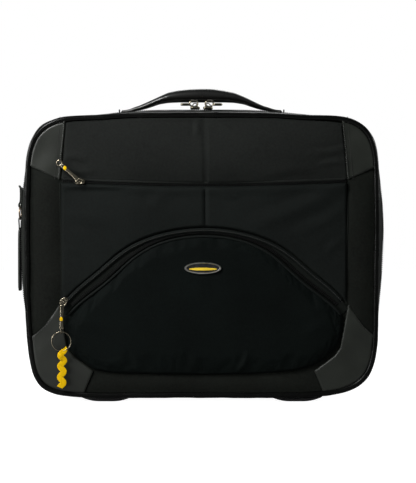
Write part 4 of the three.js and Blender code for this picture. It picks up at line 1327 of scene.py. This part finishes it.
lower_border = along_line([(-118, 25.5), (118, 25.5)], 80)
stitches("back_lower_stitches", lower_border, 89.9, 3.6, 2.6, 0.7, "case", thread)


# The trolley: three nested stages of rounded aluminium tube, a moulded bezel let into
# the top and a grip with a push button.
def pipe(name, x, y, z0, z1, half_x, half_y, wall):
    """An upright rounded-rectangle tube with an open bore: outer wall up, rim, inner wall down."""
    turn = full_turn(32)
    c, s = (squared(k, 0.4) for k in (np.cos(turn), np.sin(turn)))
    rows = [
        (0, z0 + 0.3), (0.0, z1 - 0.3), (0.3, z1), (wall - 0.3, z1), (wall, z1 - 0.3), (wall, z0 + 0.3),
        (wall - 0.3, z0), (0.3, z0),
    ]
    points = np.stack([
        joined(x + (half_x - inset) * c, y + (half_y - inset) * s, z) for inset, z in rows
    ])
    return surface(name, points, around=True, along=True, sharp_degrees=50)


aluminium = metal("brushed_aluminium", (0.62, 0.62, 0.63), 0.33)
for stage, body, wall in (
    ("outer", "case", 1.0), ("middle", "trolley_lower", 0.9), ("inner", "trolley_upper", 0.9),
):
    for side in ("left", "right"):
        node = f"trolley_{stage}_tube_{side}"
        low, high = corners_of(node)
        half = (high - low) / 2
        mid = (high + low) / 2
        tube = pipe(f"{stage}_tube_{side}", mid[0], mid[1], low[2], high[2], half[0], half[1], wall)
        put(tube, body, "tube_aluminium", aluminium, node)
low, high = corners_of("trolley_grip")
t = np.linspace(-1, 1, 81)
path = joined(high[0] * t, (low[1] + high[1]) / 2, (low[2] + high[2]) / 2)
end = np.sqrt(1 - np.clip(np.abs(t) * 12 - 11, 0, 0.98) ** 2)
ridge = 1 + 0.02 * np.cos(t * 90) * (np.abs(t) < 0.7) * (np.abs(t) > 0.2)
grip_bar = loft(
    "trolley_grip_moulding", path, (high[2] - low[2]) / 2 * (0.6 + 0.4 * end),
    (high[1] - low[1]) / 2 * end * ridge, 4.5, 36,
)
button_low, button_high = corners_of("trolley_button")
cut_box(grip_bar, button_low + [-0.3, -0.3, 0], button_high + [0.3, 0.3, 10])
put(grip_bar, "trolley_upper", "gloss_black", gloss_black, "trolley_grip")
at, narrow = rounded(button_high[0] - button_low[0], 3)
path = joined(button_low[0] + at, (button_low[1] + button_high[1]) / 2, (button_low[2] + button_high[2]) / 2)
push = loft(
    "trolley_button_moulding", path, (button_high[2] - button_low[2]) / 2 * narrow**0.4,
    (button_high[1] - button_low[1]) / 2 * narrow, 4.0,
)
put(push, "grip_button", "black_plastic", satin_plastic, "trolley_button")


# The wheels: a moulded hub with five spokes in a rubber tyre with a shallow tread, on a steel pin.
def turned(name, centre, rows, count=60, wobble=None):
    """A closed ring turned about X from (radius, x) rows;
    `wobble(row, angle)` moves a row's x by that much."""
    turn = full_turn(count)
    rows = np.array(rows, float)
    off = np.zeros((len(rows), count)) if wobble is None else wobble(rows, turn)
    points = joined(
        centre[0] + rows[:, 1:] + off, centre[1] + rows[:, :1] * np.cos(turn),
        centre[2] + rows[:, :1] * np.sin(turn),
    )
    return surface(name, points, around=True, along=True, sharp_degrees=35)


def spokes(rows, angle):
    """Between five spokes the web lies 4 mm deeper on both faces, over radii from 8 to 16 mm."""
    gap = np.clip(0.5 - 1.3 * np.cos(5 * angle), 0, 1)[None]
    ring = np.clip((rows[:, :1] - 7) / 2, 0, 1) * np.clip((17 - rows[:, :1]) / 1.5, 0, 1)
    return -np.sign(rows[:, 1:]) * 4 * gap * ring


rubber = finish("wheel_rubber", (0.018, 0.018, 0.018), 0.62, GRAIN, 700.0, 0.00005, Specular_IOR_Level=0.35)
for side in ("left", "right"):
    centre = middle_of(f"wheel_tyre_{side}")
    tyre_rows = [
        (20.0, -9), (21, -10.4), (23, -11), (25.4, -10.2), (26.5, -8.6), (26.9, -6.8), (26.2, -6.2),
        (26.2, -5.6), (26.95, -5), (27, -0.8), (26.2, -0.4), (26.2, 0.4), (27, 0.8), (26.95, 5),
        (26.2, 5.6), (26.2, 6.2), (26.9, 6.8), (26.5, 8.6), (25.4, 10.2), (23, 11), (21, 10.4), (20.0, 9),
    ]
    tyre = turned(f"wheel_tyre_rubber_{side}", centre, tyre_rows, 96)
    put(tyre, f"wheel_{side}", "wheel_rubber", rubber, f"wheel_tyre_{side}")
    hub_rows = [
        (3.35, -9), (5.6, -9), (6.4, -8), (7.6, -7.4), (9.5, -7.2), (12, -7.2), (14.5, -7.2), (16.4, -7.4),
        (17.4, -8.6), (19.5, -8.8), (19.5, 8.8), (17.4, 8.6), (16.4, 7.4), (14.5, 7.2), (12, 7.2),
        (9.5, 7.2), (7.6, 7.4), (6.4, 8), (5.6, 9), (3.35, 9),
    ]
    hub = turned(f"wheel_hub_moulding_{side}", centre, hub_rows, 100, spokes)
    put(hub, f"wheel_{side}", "black_plastic", satin_plastic, f"wheel_hub_{side}")

# Inside: a padded divider for the computer, boards behind and
# below, and an organiser sewn to the door's lining.
lining = finish("grey_lining", (0.05, 0.051, 0.054), 0.7, WEAVE, 0.0009, 0.00003, Specular_IOR_Level=0.2)
low, high = corners_of("divider_panel")
grid = ruled(
    along_line([(low[0] + 1, low[2]), (high[0] - 1, low[2])], 60),
    along_line([(low[0] + 1, high[2]), (high[0] - 1, high[2])], 60), 30,
)
quilting = 0.5 * np.cos(grid[..., 0] / 9) * np.cos(grid[..., 1] / 9)
divider = padding("divider_pad", grid, high[1], 2.6, 3.0, quilting)
put(divider, "case", "board", lining, "divider_panel")


def flipped(obj, about_y):
    """The same piece turned to face the other way: every
    y mirrored about a plane, with its faces set right."""
    co = points_of(obj.data)
    co[:, 1] = 2 * about_y * MM - co[:, 1]
    obj.data.vertices.foreach_set("co", co.ravel())
    finish_mesh(obj, True, 70)
    return obj


low, high = corners_of("organiser_panel")
grid = ruled(
    along_line([(low[0] + 2, low[2]), (high[0] - 2, low[2])], 60),
    along_line([(low[0] + 2, high[2]), (high[0] - 2, high[2])], 60), 30,
)
pocket_edges = [
    ([(-60, low[2]), (-60, 170)], 0.9, 1.4), ([(60, low[2]), (60, 170)], 0.9, 1.4),
    ([(-170, 170), (170, 170)], 1.1, 1.6),
]
organiser = flipped(
    padding("organiser_pad", grid, low[1], 1.8, 2.5, 0.15 * np.sin(grid[..., 0] / 15), pocket_edges),
    low[1],
)
put(organiser, "door", "board", lining, "organiser_panel")
board = finish("fibre_board", (0.045, 0.044, 0.042), 0.75, GRAIN, 400.0, 0.00004, Specular_IOR_Level=0.2)
carried = {
    board: ("back_board", "floor_board"),
    satin_plastic: ("trolley_bezel", "trolley_base_bracket", "wheel_housing_left", "wheel_housing_right"),
    nickel: ("wheel_axle_left", "wheel_axle_right"),
}
for material, names in carried.items():
    for name in names:
        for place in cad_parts[name].material_slots:
            place.material = material
